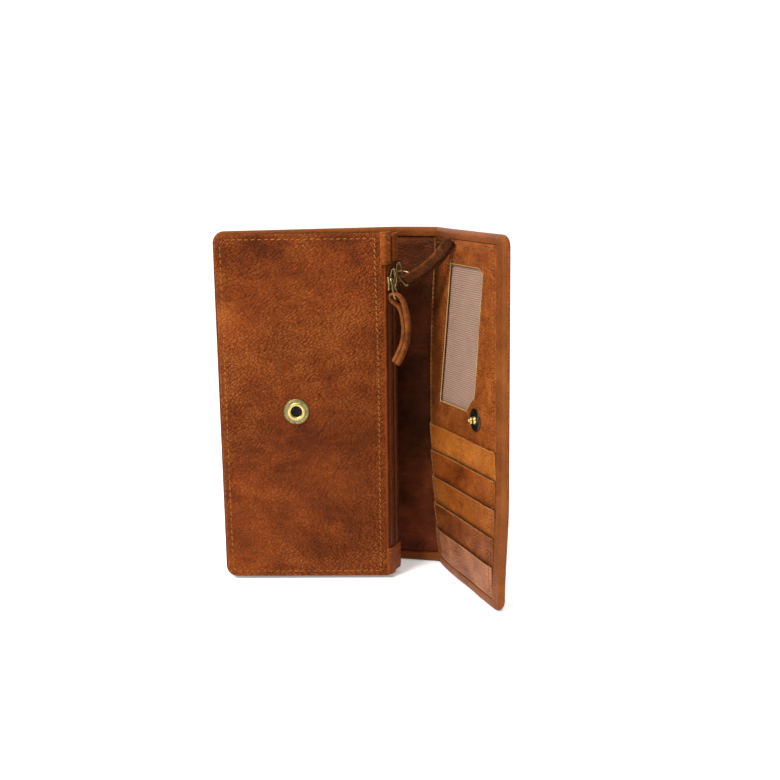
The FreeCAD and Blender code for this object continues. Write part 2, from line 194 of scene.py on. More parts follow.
# The outline of the whole wallet, in millimetres and degrees.
HEIGHT = 190.0
BACK_LEFT = -50.75
SPINE_X, SPINE_Y = joint_xy("spine_fold")
FLAP_X, FLAP_Y = joint_xy("flap_fold")
LEAF_X, LEAF_Y = joint_xy("leaf_fold")
SPINE_TURN = math.degrees(math.atan2(SPINE_Y - FLAP_Y, FLAP_X - SPINE_X))
FLAP_TURN = 88.3
LEAF_TURN = 19.4
FLAP_DEEP = 94.0
CREASE_1 = SPINE_X - BACK_LEFT
CREASE_2 = CREASE_1 + math.hypot(FLAP_X - SPINE_X, FLAP_Y - SPINE_Y)
COVER_END = CREASE_2 + FLAP_DEEP
SPINE_RADIUS = 13.0
FLAP_RADIUS = 6.0
BOW_REACH = 17.0
FLAP = Flat(FLAP_X, FLAP_Y, FLAP_TURN)
LEAF = Flat(LEAF_X, LEAF_Y, LEAF_TURN)
COVER_TRUE = Strip(
    (BACK_LEFT, SPINE_Y),
    [(SPINE_X, SPINE_Y), (FLAP_X, FLAP_Y)],
    [SPINE_TURN, FLAP_TURN],
    [SPINE_RADIUS, FLAP_RADIUS],
    COVER_END,
)


def corner_curl(u, z):
    """How far the flap's lower free corner curls inwards."""
    return -2.0 * ease((u - 30) / 64) * ease((62 - np.asarray(z, float)) / 60)


def left_slant(z):
    """How far the left edge of the back and the leaf leans."""
    return 0.6 - 1.0 * (np.asarray(z, float) - 95) / 95


def right_slant(z):
    """How far the leaf's zip edge draws in towards the top."""
    return -1.3 * ease((np.asarray(z, float) - 110) / 75)


COVER = Shaped(
    COVER_TRUE,
    lambda s, z: left_slant(z) * np.clip(1 - s / 45, 0, 1),
    lambda s, z: crease_bow(z) * np.exp(-(((s - CREASE_2) / BOW_REACH) ** 2)) + corner_curl(s - CREASE_2, z),
)
FLAP_FACE = Shaped(
    FLAP, None, lambda u, z: crease_bow(z) * np.exp(-((u / BOW_REACH) ** 2)) + corner_curl(u, z),
)
LEAF_FACE = Shaped(
    LEAF, lambda u, z: left_slant(z) + (right_slant(z) - left_slant(z)) * np.clip(u / 86, 0, 1),
)


def waves(u, z, size, seed, octaves=3):
    """Smooth repeatable unevenness between about -1 and 1, with features of that size."""
    rng = np.random.RandomState(seed)
    total = np.zeros(np.broadcast(u, z).shape)
    weight_sum = 0.0
    for octave in range(octaves):
        weight = 0.55**octave
        for _ in range(5):
            heading = rng.uniform(0, 2 * math.pi)
            phase = rng.uniform(0, 2 * math.pi)
            pitch = size * rng.uniform(0.7, 1.4) / 1.9**octave
            total = total + weight * np.sin(
                2 * math.pi * (u * math.cos(heading) + z * math.sin(heading)) / pitch + phase
            )
            weight_sum += weight * 0.6
    return total / weight_sum


# ------------------------------------------------------------------ materials


class Graph:
    """A short way to write a node tree."""

    def __init__(self, name):
        self.material = bpy.data.materials.new(name)
        self.material.use_nodes = True
        self.tree = self.material.node_tree
        self.shader = self.tree.nodes["Principled BSDF"]
        self.coords = self.add("ShaderNodeTexCoord").outputs["Object"]

    def add(self, kind, inputs=None, **settings):
        node = self.tree.nodes.new(kind)
        for key, value in settings.items():
            setattr(node, key, value)
        for key, value in (inputs or {}).items():
            self.put(node.inputs[key], value)
        return node

    def put(self, socket, value):
        if isinstance(value, bpy.types.NodeSocket):
            self.tree.links.new(value, socket)
        else:
            socket.default_value = value

    def ramp(self, source, stops):
        node = self.tree.nodes.new("ShaderNodeValToRGB")
        while len(node.color_ramp.elements) < len(stops):
            node.color_ramp.elements.new(0.5)
        for element, (place, colour) in zip(node.color_ramp.elements, stops):
            element.position = place
            element.color = (*colour, 1.0)
        self.tree.links.new(source, node.inputs["Fac"])
        return node.outputs["Color"]

    def span(self, source, low, high, to_low=0.0, to_high=1.0):
        values = {"Value": source, "From Min": low, "From Max": high, "To Min": to_low, "To Max": to_high}
        return self.add("ShaderNodeMapRange", values, clamp=True).outputs["Result"]

    def math(self, operation, first, second=0.5):
        return self.add("ShaderNodeMath", {0: first, 1: second}, operation=operation).outputs["Value"]

    def mix(self, factor, first, second, blend="MIX"):
        node = self.add("ShaderNodeMix", data_type="RGBA", blend_type=blend)
        self.put(node.inputs[0], factor)
        self.put(node.inputs[6], first)
        self.put(node.inputs[7], second)
        return node.outputs[2]

    def noise(self, coords, scale, detail=3.0, rough=0.5, distortion=0.0):
        values = {
            "Vector": coords, "Scale": scale, "Detail": detail, "Roughness": rough,
            "Distortion": distortion,
        }
        return self.add("ShaderNodeTexNoise", values).outputs["Fac"]

    def bump(self, height, strength, distance, under=None):
        values = {"Height": height, "Strength": strength, "Distance": distance}
        node = self.add("ShaderNodeBump", values)
        if under is not None:
            self.put(node.inputs["Normal"], under)
        return node.outputs["Normal"]

    def grey(self, value):
        return self.add("ShaderNodeCombineColor", {0: value, 1: value, 2: value}).outputs[0]

    def painted(self, name):
        """A value stored on the mesh's points."""
        return self.add("ShaderNodeAttribute", attribute_name=name).outputs["Fac"]

    def mottled(self, colour, scale, detail, dark, light):
        """The colour, drifting between a darker and a lighter share of itself."""
        tint = self.noise(self.coords, scale, detail)
        return self.ramp(tint, [(0.3, shaded(colour, dark)), (0.7, shaded(colour, light))])

    def finish(self, **values):
        for key, value in values.items():
            self.put(self.shader.inputs[key.replace("_", " ")], value)
        return self.material


def rgba(colour):
    return (*colour, 1.0)


def shaded(colour, share):
    return [min(1.0, channel * share) for channel in colour]


def leather(
    name, dark, mid, light, clouds=16.0, grain=760.0, depth=1.0, rough=0.5, crease=1.0, shift=0.0,
    lean=-0.6, floor_bounce_light=0.0,
):
    """Washed leather: large clouds of colour, pebbled grain, fine pores and a few long creases."""
    g = Graph(name)
    moved = g.add("ShaderNodeMapping", {"Vector": g.coords, "Location": (shift, shift * 0.7, shift * 1.3)})
    base = moved.outputs["Vector"]
    wobble = g.add("ShaderNodeTexNoise", {"Vector": base, "Scale": 230.0, "Detail": 2.0})
    centred = g.add(
        "ShaderNodeVectorMath", {0: wobble.outputs["Color"], 1: (0.5, 0.5, 0.5)}, operation="SUBTRACT",
    )
    small = g.add("ShaderNodeVectorMath", {0: centred.outputs[0], "Scale": 0.0022}, operation="SCALE")
    bent = g.add("ShaderNodeVectorMath", {0: base, 1: small.outputs[0]}, operation="ADD").outputs[0]
    stretched = g.add(
        "ShaderNodeMapping", {
            "Vector": bent, "Rotation": (0.0, lean, 0.0), "Scale": (1.75, 1.1, 0.78),
        }, vector_type="TEXTURE"
    ).outputs["Vector"]
    cells = {"Vector": stretched, "Scale": grain, "Randomness": 0.85}
    edge = g.add("ShaderNodeTexVoronoi", cells, feature="DISTANCE_TO_EDGE").outputs["Distance"]
    pebble = g.span(edge, 0.0, 0.17)
    centre = g.add("ShaderNodeTexVoronoi", cells, feature="F1").outputs["Distance"]
    dome = g.math("SUBTRACT", 1.0, g.math("MULTIPLY", g.math("MULTIPLY", centre, centre), 1.7))
    pores = g.noise(base, 1500.0, 3.0, 0.6)
    cloud = g.noise(base, clouds, 5.0, 0.58, 0.8)
    patch = g.noise(base, clouds * 3.6, 4.0, 0.6, 0.4)
    streak_base = g.add(
        "ShaderNodeMapping", {"Vector": base, "Rotation": (0.0, 0.5, 0.0), "Scale": (1, 1, 3.0)},
    )
    streak = g.noise(streak_base.outputs["Vector"], clouds * 2.2, 4.0, 0.6, 1.2)
    tone = g.math("ADD", g.math("MULTIPLY", cloud, 0.52), g.math("MULTIPLY", patch, 0.26))
    tone = g.math("ADD", tone, g.math("MULTIPLY", streak, 0.22))
    colour = g.ramp(tone, [(0.385, dark), (0.5, mid), (0.615, light)])
    line_field = g.noise(base, 24.0, 2.5, 0.55, 0.7)
    nearness = g.math("ABSOLUTE", g.math("SUBTRACT", line_field, 0.5))
    line = g.span(nearness, 0.0, 0.0065, 1.0, 0.0)
    where = g.span(g.noise(base, 13.0, 2.0), 0.56, 0.64)
    creases = g.math("MULTIPLY", line, g.math("MULTIPLY", where, crease))
    grain_here = g.span(g.noise(base, 17.0, 2.0), 0.36, 0.6, 0.6, 1.0)
    # painted shade: the colour darkens in the grain's valleys, standing in for the shade that falls in them
    valley = g.math("MULTIPLY", g.math("SUBTRACT", 1.0, pebble), grain_here)
    colour = g.mix(g.math("MULTIPLY", valley, min(0.9, 0.72 * depth)), colour, rgba(shaded(dark, 0.6)))
    colour = g.mix(g.math("MULTIPLY", creases, 0.3), colour, rgba(shaded(light, 1.1)))
    speck = g.span(pores, 0.35, 0.6, 0.9, 1.05)
    colour = g.mix(1.0, colour, g.grey(speck), "MULTIPLY")
    # the mesh's 'tone' scales the colour: on the card panel, the card pockets and the rear strap it holds
    # painted shade and painted highlight
    tone_here = g.math("ADD", 1.0, g.painted("tone"))
    # painted light: the colour brightens towards the foot, standing in for light bounced up from the floor
    if floor_bounce_light:
        level = g.add("ShaderNodeSeparateXYZ", {0: g.coords}).outputs["Z"]
        tone_here = g.math("ADD", tone_here, g.span(level, 0.0, 0.075, floor_bounce_light, 0.0))
    colour = g.mix(1.0, colour, g.grey(tone_here), "MULTIPLY")
    # painted highlight: the colour is lightened near rounded rims, standing in for the sheen on them
    colour = g.mix(g.math("MULTIPLY", g.painted("rim"), 0.3), colour, rgba(light))
    bulge = g.math("ADD", g.math("MULTIPLY", pebble, 0.2), dome)
    height = g.math("ADD", g.math("MULTIPLY", bulge, grain_here), g.math("MULTIPLY", pores, 0.4))
    height = g.math("SUBTRACT", height, g.math("MULTIPLY", creases, 1.6))
    slow = g.bump(patch, 0.22, 0.004)
    normal = g.bump(height, min(1.0, depth), 0.0017, slow)
    shine = g.span(g.math("ADD", g.math("MULTIPLY", patch, 0.6), g.math("MULTIPLY", pores, 0.4)), 0.35, 0.65)
    roughness = g.span(shine, 0.0, 1.0, rough - 0.08, rough + 0.12)
    tint = (1.0, 0.5, 0.22, 1.0)
    return g.finish(
        Base_Color=colour, Roughness=roughness, Normal=normal, Specular_IOR_Level=0.22, Specular_Tint=tint
    )


def metal(name, colour, dirt, rough=0.3, wear=0.5, stipple=False):
    """Old brass: bright metal with darker patina in blotches."""
    g = Graph(name)
    blotch = g.noise(g.coords, 420.0, 5.0, 0.62, 0.6)
    fine = g.noise(g.coords, 2600.0, 3.0, 0.6)
    amount = g.span(
        g.math("ADD", g.math("MULTIPLY", blotch, 0.75), g.math("MULTIPLY", fine, 0.25)), 0.42, 0.66,
    )
    mixed = g.mix(g.math("MULTIPLY", amount, wear), rgba(colour), rgba(dirt))
    height = fine
    strength = 0.12
    if stipple:
        cells = g.add("ShaderNodeTexVoronoi", {"Vector": g.coords, "Scale": 1500.0}, feature="F1")
        dots = g.span(cells.outputs["Distance"], 0.1, 0.5)
        mixed = g.mix(g.math("MULTIPLY", dots, 0.45), mixed, rgba(dirt))
        height = g.math("SUBTRACT", 1.0, dots)
        strength = 0.5
    normal = g.bump(height, strength, 0.0001)
    roughness = g.span(blotch, 0.3, 0.7, rough - 0.06, rough + 0.16)
    return g.finish(Base_Color=mixed, Metallic=1.0, Roughness=roughness, Normal=normal)


def thread(name, colour):
    """Twisted yarn."""
    g = Graph(name)
    twist = g.add(
        "ShaderNodeTexWave", {
            "Vector": g.coords, "Scale": 620.0, "Distortion": 3.0, "Detail": 2.0,
        }, bands_direction="DIAGONAL"
    ).outputs["Fac"]
    shade = g.mottled(colour, 90.0, 3.0, 0.72, 1.18)
    shade = g.mix(g.span(twist, 0.2, 0.8, 0.0, 0.4), shade, rgba(shaded(colour, 0.45)))
    return g.finish(
        Base_Color=shade, Roughness=0.7, Normal=g.bump(twist, 0.5, 0.0001), Specular_IOR_Level=0.12,
    )


def cloth(name, colour, pitch=1900.0, rough=0.85):
    """Woven tape or lining: two crossed sets of threads."""
    g = Graph(name)
    threads = {"Vector": g.coords, "Scale": pitch / 6.28, "Distortion": 0.4}
    up = g.add("ShaderNodeTexWave", threads, bands_direction="Z").outputs["Fac"]
    over = g.add("ShaderNodeTexWave", threads, bands_direction="X").outputs["Fac"]
    weave = g.math("MULTIPLY", up, over)
    shade = g.mottled(colour, 160.0, 4.0, 0.75, 1.2)
    shade = g.mix(g.span(weave, 0.0, 0.8, 0.45, 0.0), shade, rgba(shaded(colour, 0.4)))
    return g.finish(Base_Color=shade, Roughness=rough, Normal=g.bump(weave, 0.5, 0.00015))


def plain(name, colour, rough, **extra):
    """A small even part, slightly mottled."""
    g = Graph(name)
    shade = g.mottled(colour, 240.0, 4.0, 0.85, 1.12)
    normal = g.bump(g.noise(g.coords, 900.0, 3.0), 0.08, 0.0001)
    return g.finish(Base_Color=shade, Roughness=rough, Normal=normal, **extra)


RIB_PITCH = 1.12


def ribbed(name, colour):
    """The lining behind the window's clear film: fine level ribs that show as darker lines."""
    g = Graph(name)
    height = g.add("ShaderNodeSeparateXYZ", {0: g.coords}).outputs["Z"]
    saw = g.math("FRACT", g.math("MULTIPLY", height, 1000.0 / RIB_PITCH))
    hump = g.math("ABSOLUTE", g.math("SUBTRACT", saw, 0.5))
    groove = g.span(hump, 0.2, 0.46)
    shade = g.mottled(colour, 120.0, 4.0, 0.9, 1.06)
    shade = g.mix(g.math("MULTIPLY", groove, 0.85), shade, rgba(shaded(colour, 0.42)))
    normal = g.bump(g.math("SUBTRACT", 1.0, groove), 0.5, 0.0002)
    return g.finish(Base_Color=shade, Roughness=0.7, Normal=normal, Coat_Weight=0.25, Coat_Roughness=0.12)


DARK = [0.098, 0.0165, 0.0042]
MID = [0.238, 0.0475, 0.0082]
LIGHT = [0.36, 0.093, 0.018]
LEATHER = leather("cognac_leather", DARK, MID, LIGHT, lean=-0.62)
OUTSIDE = leather("cognac_leather_outside", DARK, MID, LIGHT, clouds=13.0, depth=0.8, shift=0.21, lean=-0.5)
BORDER = leather(
    "border_leather", [0.128, 0.0315, 0.006], [0.17, 0.045, 0.009], [0.22, 0.0655, 0.0153], clouds=26.0,
    grain=900.0, depth=0.25, rough=0.46, crease=0.3, shift=0.4,
)
# inner leather: its colour is painted lighter towards the foot, as light bounced up from the floor
INNER = leather(
    "inner_leather", [0.02, 0.0036, 0.0018], [0.057, 0.0103, 0.0037], [0.115, 0.026, 0.0075], clouds=20.0,
    grain=900.0, depth=0.3, rough=0.46, crease=0.0, shift=0.7, floor_bounce_light=1.7,
)
SUEDE = leather(
    "window_panel_leather", [0.185, 0.038, 0.0055], [0.3, 0.071, 0.0105], [0.43, 0.118, 0.02],
    clouds=90.0, grain=1000.0, depth=0.8, rough=0.6, crease=0.0, shift=1.1,
)
TRIM = leather(
    "trim_leather", [0.12, 0.025, 0.004], [0.2, 0.046, 0.0075], [0.29, 0.08, 0.017], clouds=60.0,
    grain=1100.0, depth=0.35, rough=0.48, crease=0.4, shift=1.7,
)
WELT = leather(
    "zip_welt_leather", [0.07, 0.012, 0.0025], [0.125, 0.022, 0.004], [0.18, 0.038, 0.008], clouds=60.0,
    grain=1100.0, depth=0.3, rough=0.5, crease=0.0, shift=1.9,
)
STRAP_TONES = (
    ([0.085, 0.022, 0.006], [0.185, 0.052, 0.012], [0.27, 0.085, 0.022]),
    ([0.022, 0.0052, 0.0015], [0.058, 0.0145, 0.0036], [0.14, 0.044, 0.0115]),
)
STRAPS = []
for number, tones in enumerate(STRAP_TONES, start=1):
    strap_look = dict(clouds=70.0, grain=1300.0, depth=0.5, rough=0.55, crease=0.6, shift=1.1 + number)
    STRAPS.append(leather(f"strap_leather_{number}", *tones, **strap_look))
POCKET_TONES = (
    ([0.24, 0.066, 0.009], [0.36, 0.104, 0.013], [0.45, 0.15, 0.024]),
    ([0.10, 0.02, 0.003], [0.235, 0.052, 0.0065], [0.34, 0.09, 0.013]),
    ([0.17, 0.042, 0.0055], [0.28, 0.073, 0.009], [0.36, 0.11, 0.018]),
    ([0.075, 0.015, 0.003], [0.18, 0.041, 0.0075], [0.29, 0.085, 0.02]),
    ([0.15, 0.038, 0.011], [0.29, 0.095, 0.035], [0.42, 0.175, 0.08]),
)
# light tan for thin tubes along the edges of the card pockets and the card panel: painted highlights on
# those edges
HIGHLIGHT_EDGE = leather(
    "folded_edge_leather", [0.2, 0.066, 0.015], [0.33, 0.125, 0.034], [0.42, 0.19, 0.065], clouds=90.0,
    grain=1500.0, depth=0.2, rough=0.5, crease=0.0, shift=4.1,
)
# near-black brown for thin tubes laid in gaps: a painted shadow
MOUTH_SHADOW = plain("pocket_mouth_shadow", [0.05, 0.014, 0.005], 0.9)
THREAD = thread("golden_thread", [0.37, 0.125, 0.022])
THREAD_DARK = thread("brown_thread", [0.30, 0.12, 0.035])
# near-black for the stitch holes: painted shade in the holes
HOLE_SHADOW = plain("stitch_hole_shadow", [0.03, 0.011, 0.005], 0.9)
GOLD_EDGE = plain("window_edge", [0.36, 0.2, 0.05], 0.5)
TAPE = cloth("zip_tape", [0.085, 0.034, 0.014])
LINING = cloth("pocket_lining", [0.055, 0.022, 0.012], 1500.0)
BOARD = cloth("flap_board", [0.3, 0.2, 0.12], 900.0)
COIL = plain("zip_coil", [0.17, 0.062, 0.02], 0.45)
RIBS = ribbed("ribbed_lining", [0.335, 0.205, 0.145])
# near-black for the socket's hole: painted shade in its depth
WELL_SHADOW = plain("snap_well_shadow", [0.006, 0.005, 0.004], 0.6, Specular_IOR_Level=0.15)
BRASS = metal("bright_brass", [0.42, 0.31, 0.13], [0.05, 0.033, 0.015], 0.3, 0.85)
OLD_BRASS = metal("antique_brass", [0.40, 0.33, 0.13], [0.07, 0.06, 0.035], 0.36, 0.85, stipple=True)
RIM_BRASS = metal("antique_brass_rim", [0.62, 0.50, 0.17], [0.20, 0.15, 0.06], 0.3, 0.45)
BRONZE = metal("dark_bronze", [0.085, 0.066, 0.05], [0.02, 0.016, 0.013], 0.34, 0.8)

# ------------------------------------------------------------------ mesh makers


def make_object(name, points, faces, material, body=None, rim=None, slot=None, replaces=()):
    mesh = bpy.data.meshes.new(name)
    mesh.from_pydata([tuple(p) for p in points], [], faces)
    mesh.validate()
    if rim is not None:
        paint(mesh, "rim", rim)
    work = bmesh.new()
    work.from_mesh(mesh)
    bmesh.ops.recalc_face_normals(work, faces=work.faces)
    work.to_mesh(mesh)
    work.free()
    mesh.polygons.foreach_set("use_smooth", [True] * len(mesh.polygons))
    mesh.update()
    piece = bpy.data.objects.new(name, mesh)
    bpy.context.scene.collection.objects.link(piece)
    piece.data.materials.append(material)
    if body:
        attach(piece, body)
    if replaces:
        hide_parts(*replaces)
    return piece


def paint(mesh, name, values):
    """Stores a value on each point of the mesh."""
    mesh.attributes.new(name, "FLOAT", "POINT").data.foreach_set("value", np.asarray(values, np.float32))


RIM_STEPS = [0.0, 0.06, 0.2, 0.42, 0.75, 1.15, 1.6, 2.1, 2.6, 3.1, 3.7, 4.5, 5.4]


def grid_lines(low, high, rim_low, rim_high, step, extra=()):
    """Lines that are close together next to a rounded rim and evenly spaced elsewhere."""
    reach = high - low
    steps = [r for r in RIM_STEPS if r < reach * 0.45]
    lines = {round(low, 4), round(high, 4)}
    start = low
    stop = high
    if rim_low:
        lines.update(round(low + r, 4) for r in steps)
        start = low + steps[-1]
    if rim_high:
        lines.update(round(high - r, 4) for r in steps)
        stop = high - steps[-1]
    count = max(1, int(round((stop - start) / step)))
    lines.update(round(float(v), 4) for v in np.linspace(start, stop, count + 1))
    lines.update(extra)
    ordered = sorted(lines)
    kept = [ordered[0]]
    for value in ordered[1:]:
        if value - kept[-1] > 0.03 or value in extra:
            kept.append(value)
    kept[-1] = ordered[-1]
    return np.array(kept)


def relief(
    name, place, u_span, z_span, inner, outer, material, rims="lrft", radius=5.0, corners="", soften=1.0,
    step=1.4, extra_u=(), extra_z=(), tone=None, **kw,
):
    """A sheet with two faces: inner and outer give n for (u, z, distance to the rim).

    rims names the sides that are rounded over, corners the corners that are cut round.
    """
    u_lines = grid_lines(*u_span, "l" in rims, "r" in rims, step, extra_u)
    z_lines = grid_lines(*z_span, "f" in rims, "t" in rims, step, extra_z)
    u, z = np.meshgrid(u_lines, z_lines, indexing="ij")
    from_left = u - u_span[0]
    from_right = u_span[1] - u
    from_foot = z - z_span[0]
    from_top = z_span[1] - z
    sides = {"l": from_left, "r": from_right, "f": from_foot, "t": from_top}
    distance = np.full(u.shape, 1e6)
    for side, value in sides.items():
        if side in rims:
            distance = np.minimum(distance, value)
    for pair in corners.split():
        across = sides[pair[0]]
        along = sides[pair[1]]
        mask = (across < radius) & (along < radius)
        dx = radius - across
        dz = radius - along
        longest = np.maximum(np.maximum(dx, dz), 1e-9)
        length = np.maximum(np.hypot(dx, dz), 1e-9)
        shrink = np.where(mask, longest / length, 1.0)
        sign_u = 1.0 if pair[0] == "l" else -1.0
        sign_z = 1.0 if pair[1] == "f" else -1.0
        u = np.where(mask, u + sign_u * dx * (1 - shrink), u)
        z = np.where(mask, z + sign_z * dz * (1 - shrink), z)
        distance = np.where(mask, radius - longest, distance)
    high = inner(u, z, distance)
    low = outer(u, z, distance)
    middle = (high + low) / 2
    half = (high - low) / 2
    bulge = np.sqrt(np.clip(1 - (1 - np.clip(distance / soften, 0, 1)) ** 2, 0, 1))
    top_points = place.world(u, middle + half * bulge, z).reshape(-1, 3)
    low_points = place.world(u, middle - half * bulge, z).reshape(-1, 3)
    count_u, count_z = u.shape
    total = count_u * count_z
    index = np.arange(total).reshape(count_u, count_z)
    closed = np.zeros((count_u, count_z), bool)
    closed[0, :] |= "l" in rims
    closed[-1, :] |= "r" in rims
    closed[:, 0] |= "f" in rims
    closed[:, -1] |= "t" in rims
    under = np.where(closed, index, index + total)
    faces = []
    quads = np.stack([index[:-1, :-1], index[1:, :-1], index[1:, 1:], index[:-1, 1:]], -1).reshape(-1, 4)
    faces.extend(map(tuple, quads.tolist()))
    quads = np.stack([under[:-1, :-1], under[:-1, 1:], under[1:, 1:], under[1:, :-1]], -1).reshape(-1, 4)
    faces.extend(map(tuple, quads.tolist()))
    borders = {
        "l": (index[0, :], under[0, :]),
        "r": (index[-1, :], under[-1, :]),
        "f": (index[:, 0], under[:, 0]),
        "t": (index[:, -1], under[:, -1]),
    }
    for side, (upper, lower) in borders.items():
        if side in rims:
            continue
        for k in range(len(upper) - 1):
            loop = [upper[k], upper[k + 1], lower[k + 1], lower[k]]
            unique = list(dict.fromkeys(int(v) for v in loop))
            if len(unique) > 2:
                faces.append(tuple(unique))
    points = np.concatenate([top_points, low_points])
    # nearness to a rounded rim, where the leather paints a highlight
    rim = np.exp(-np.clip(distance, 0, 50) / 0.7).reshape(-1)
    rim = np.concatenate([rim, rim])
    used = np.zeros(len(points), bool)
    for face in faces:
        used[list(face)] = True
    renumber = np.cumsum(used) - 1
    faces = [tuple(int(renumber[v]) for v in face) for face in faces]
    piece = make_object(name, points[used], faces, material, rim=rim[used], **kw)
    if tone is not None:
        shade = tone(u, z).reshape(-1)
        paint(piece.data, "tone", np.concatenate([shade, shade])[used])
    piece.data.set_sharp_from_angle(angle=math.radians(55))
    return piece


def level_at(n):
    """A flat face for relief."""
    return lambda u, z, d: n + 0 * u


def sheet(level, thick):
    """The two faces of an even sheet for relief."""
    return lambda u, z, d: level(u, z), lambda u, z, d: level(u, z) - thick


def spline(points, per=8, closed=False):
    """A smooth curve through the points."""
    points = np.asarray(points, float)
    count = len(points)
    out = []
    spans = count if closed else count - 1
    for k in range(spans):
        if closed:
            p0, p1, p2, p3 = (points[(k + shift) % count] for shift in (-1, 0, 1, 2))
        else:
            p0 = points[max(k - 1, 0)]
            p1 = points[k]
            p2 = points[k + 1]
            p3 = points[min(k + 2, count - 1)]
        for step in range(per):
            t = step / per
            out.append(
                0.5
                * (
                    2 * p1
                    + (p2 - p0) * t
                    + (2 * p0 - 5 * p1 + 4 * p2 - p3) * t * t
                    + (3 * p1 - p0 - 3 * p2 + p3) * t**3
                )
            )
    if not closed:
        out.append(points[-1])
    return np.array(out)


def band_faces(rows, sides, closed=False):
    """Quads between rows of points, where each row is a closed ring of that many sides."""
    faces = []
    for k in range(rows if closed else rows - 1):
        a = k * sides
        b = ((k + 1) % rows) * sides
        for j in range(sides):
            following = (j + 1) % sides
            faces.append((a + j, a + following, b + following, b + j))
    return faces


def prism_faces(count):
    """Faces of a solid between two equal loops of points."""
    return [tuple(range(count))[::-1], tuple(range(count, 2 * count))] + band_faces(2, count)


def sweep_arrays(path, wide, thick, side, sides=16, closed=False, square=2.0):
    """Points and faces of a rounded section swept along a path; side is the direction of its width."""
    path = np.asarray(path, float)
    count = len(path)
    wide = np.broadcast_to(wide, count)
    thick = np.broadcast_to(thick, count)
    if closed:
        tangents = np.roll(path, -1, 0) - np.roll(path, 1, 0)
    else:
        tangents = np.gradient(path, axis=0)
    tangents /= np.maximum(np.linalg.norm(tangents, axis=1), 1e-12)[:, None]
    side = np.broadcast_to(np.asarray(side, float), (count, 3))
    across = side - (side * tangents).sum(1)[:, None] * tangents
    across /= np.maximum(np.linalg.norm(across, axis=1), 1e-9)[:, None]
    up = np.cross(tangents, across)
    points = []
    for k in range(count):
        for j in range(sides):
            angle = 2 * math.pi * j / sides
            c, s = math.cos(angle), math.sin(angle)
            x = abs(c) ** (2 / square) * (1 if c >= 0 else -1)
            y = abs(s) ** (2 / square) * (1 if s >= 0 else -1)
            points.append(path[k] + across[k] * x * wide[k] + up[k] * y * thick[k])
    faces = band_faces(count, sides, closed)
    if not closed:
        faces.append(tuple(range(sides))[::-1])
        faces.append(tuple((count - 1) * sides + j for j in range(sides)))
    return np.array(points), faces


def rod(name, path, wide, thick, side, material, body=None, slot=None, replaces=(), **section):
    """A piece swept along a path, with its half width and half thickness in millimetres."""
    points, faces = sweep_arrays(path, wide * MM, thick * MM, side, **section)
    return make_object(name, points, faces, material, body=body, slot=slot, replaces=replaces)


def join_arrays(groups):
    points = []
    faces = []
    shift = 0
    for group_points, group_faces in groups:
        points.append(group_points)
        faces.extend(tuple(v + shift for v in face) for face in group_faces)
        shift += len(group_points)
    return np.concatenate(points), faces


def turned(name, place, u, z, lift, profile, material, segments=72, ring=False, **kw):
    """A round piece about the n direction at (u, z): profile is (radius, n above lift).

    A ring's profile closes on itself.
    """
    points = []
    for radius, n in profile:
        for k in range(segments):
            angle = 2 * math.pi * k / segments
            across, up = radius * math.cos(angle), radius * math.sin(angle)
            points.append(place.world(u + across, float(lift + n), z + up))
    faces = band_faces(len(profile), segments, ring)
    if not ring:
        faces.append(tuple(range(segments)))
        faces.append(tuple((len(profile) - 1) * segments + k for k in range(segments))[::-1])
    return make_object(name, np.array(points), faces, material, **kw)


STITCH_BEND = (-0.32, 0.02, 0.14, 0.17, 0.14, 0.02, -0.32)


def walk(path, pitch):
    """Evenly spaced places and headings along a polyline."""
    path = np.asarray(path, float)
    runs = np.linalg.norm(np.diff(path, axis=0), axis=1)
    ends = np.concatenate([[0], np.cumsum(runs)])
    count = int(ends[-1] / pitch)
    for k in range(count):
        at = (k + 0.5) * ends[-1] / count
        run = min(int(np.searchsorted(ends, at, side="right") - 1), len(runs) - 1)
        share = (at - ends[run]) / runs[run]
        heading = (path[run + 1] - path[run]) / runs[run]
        yield path[run] + share * (path[run + 1] - path[run]), heading


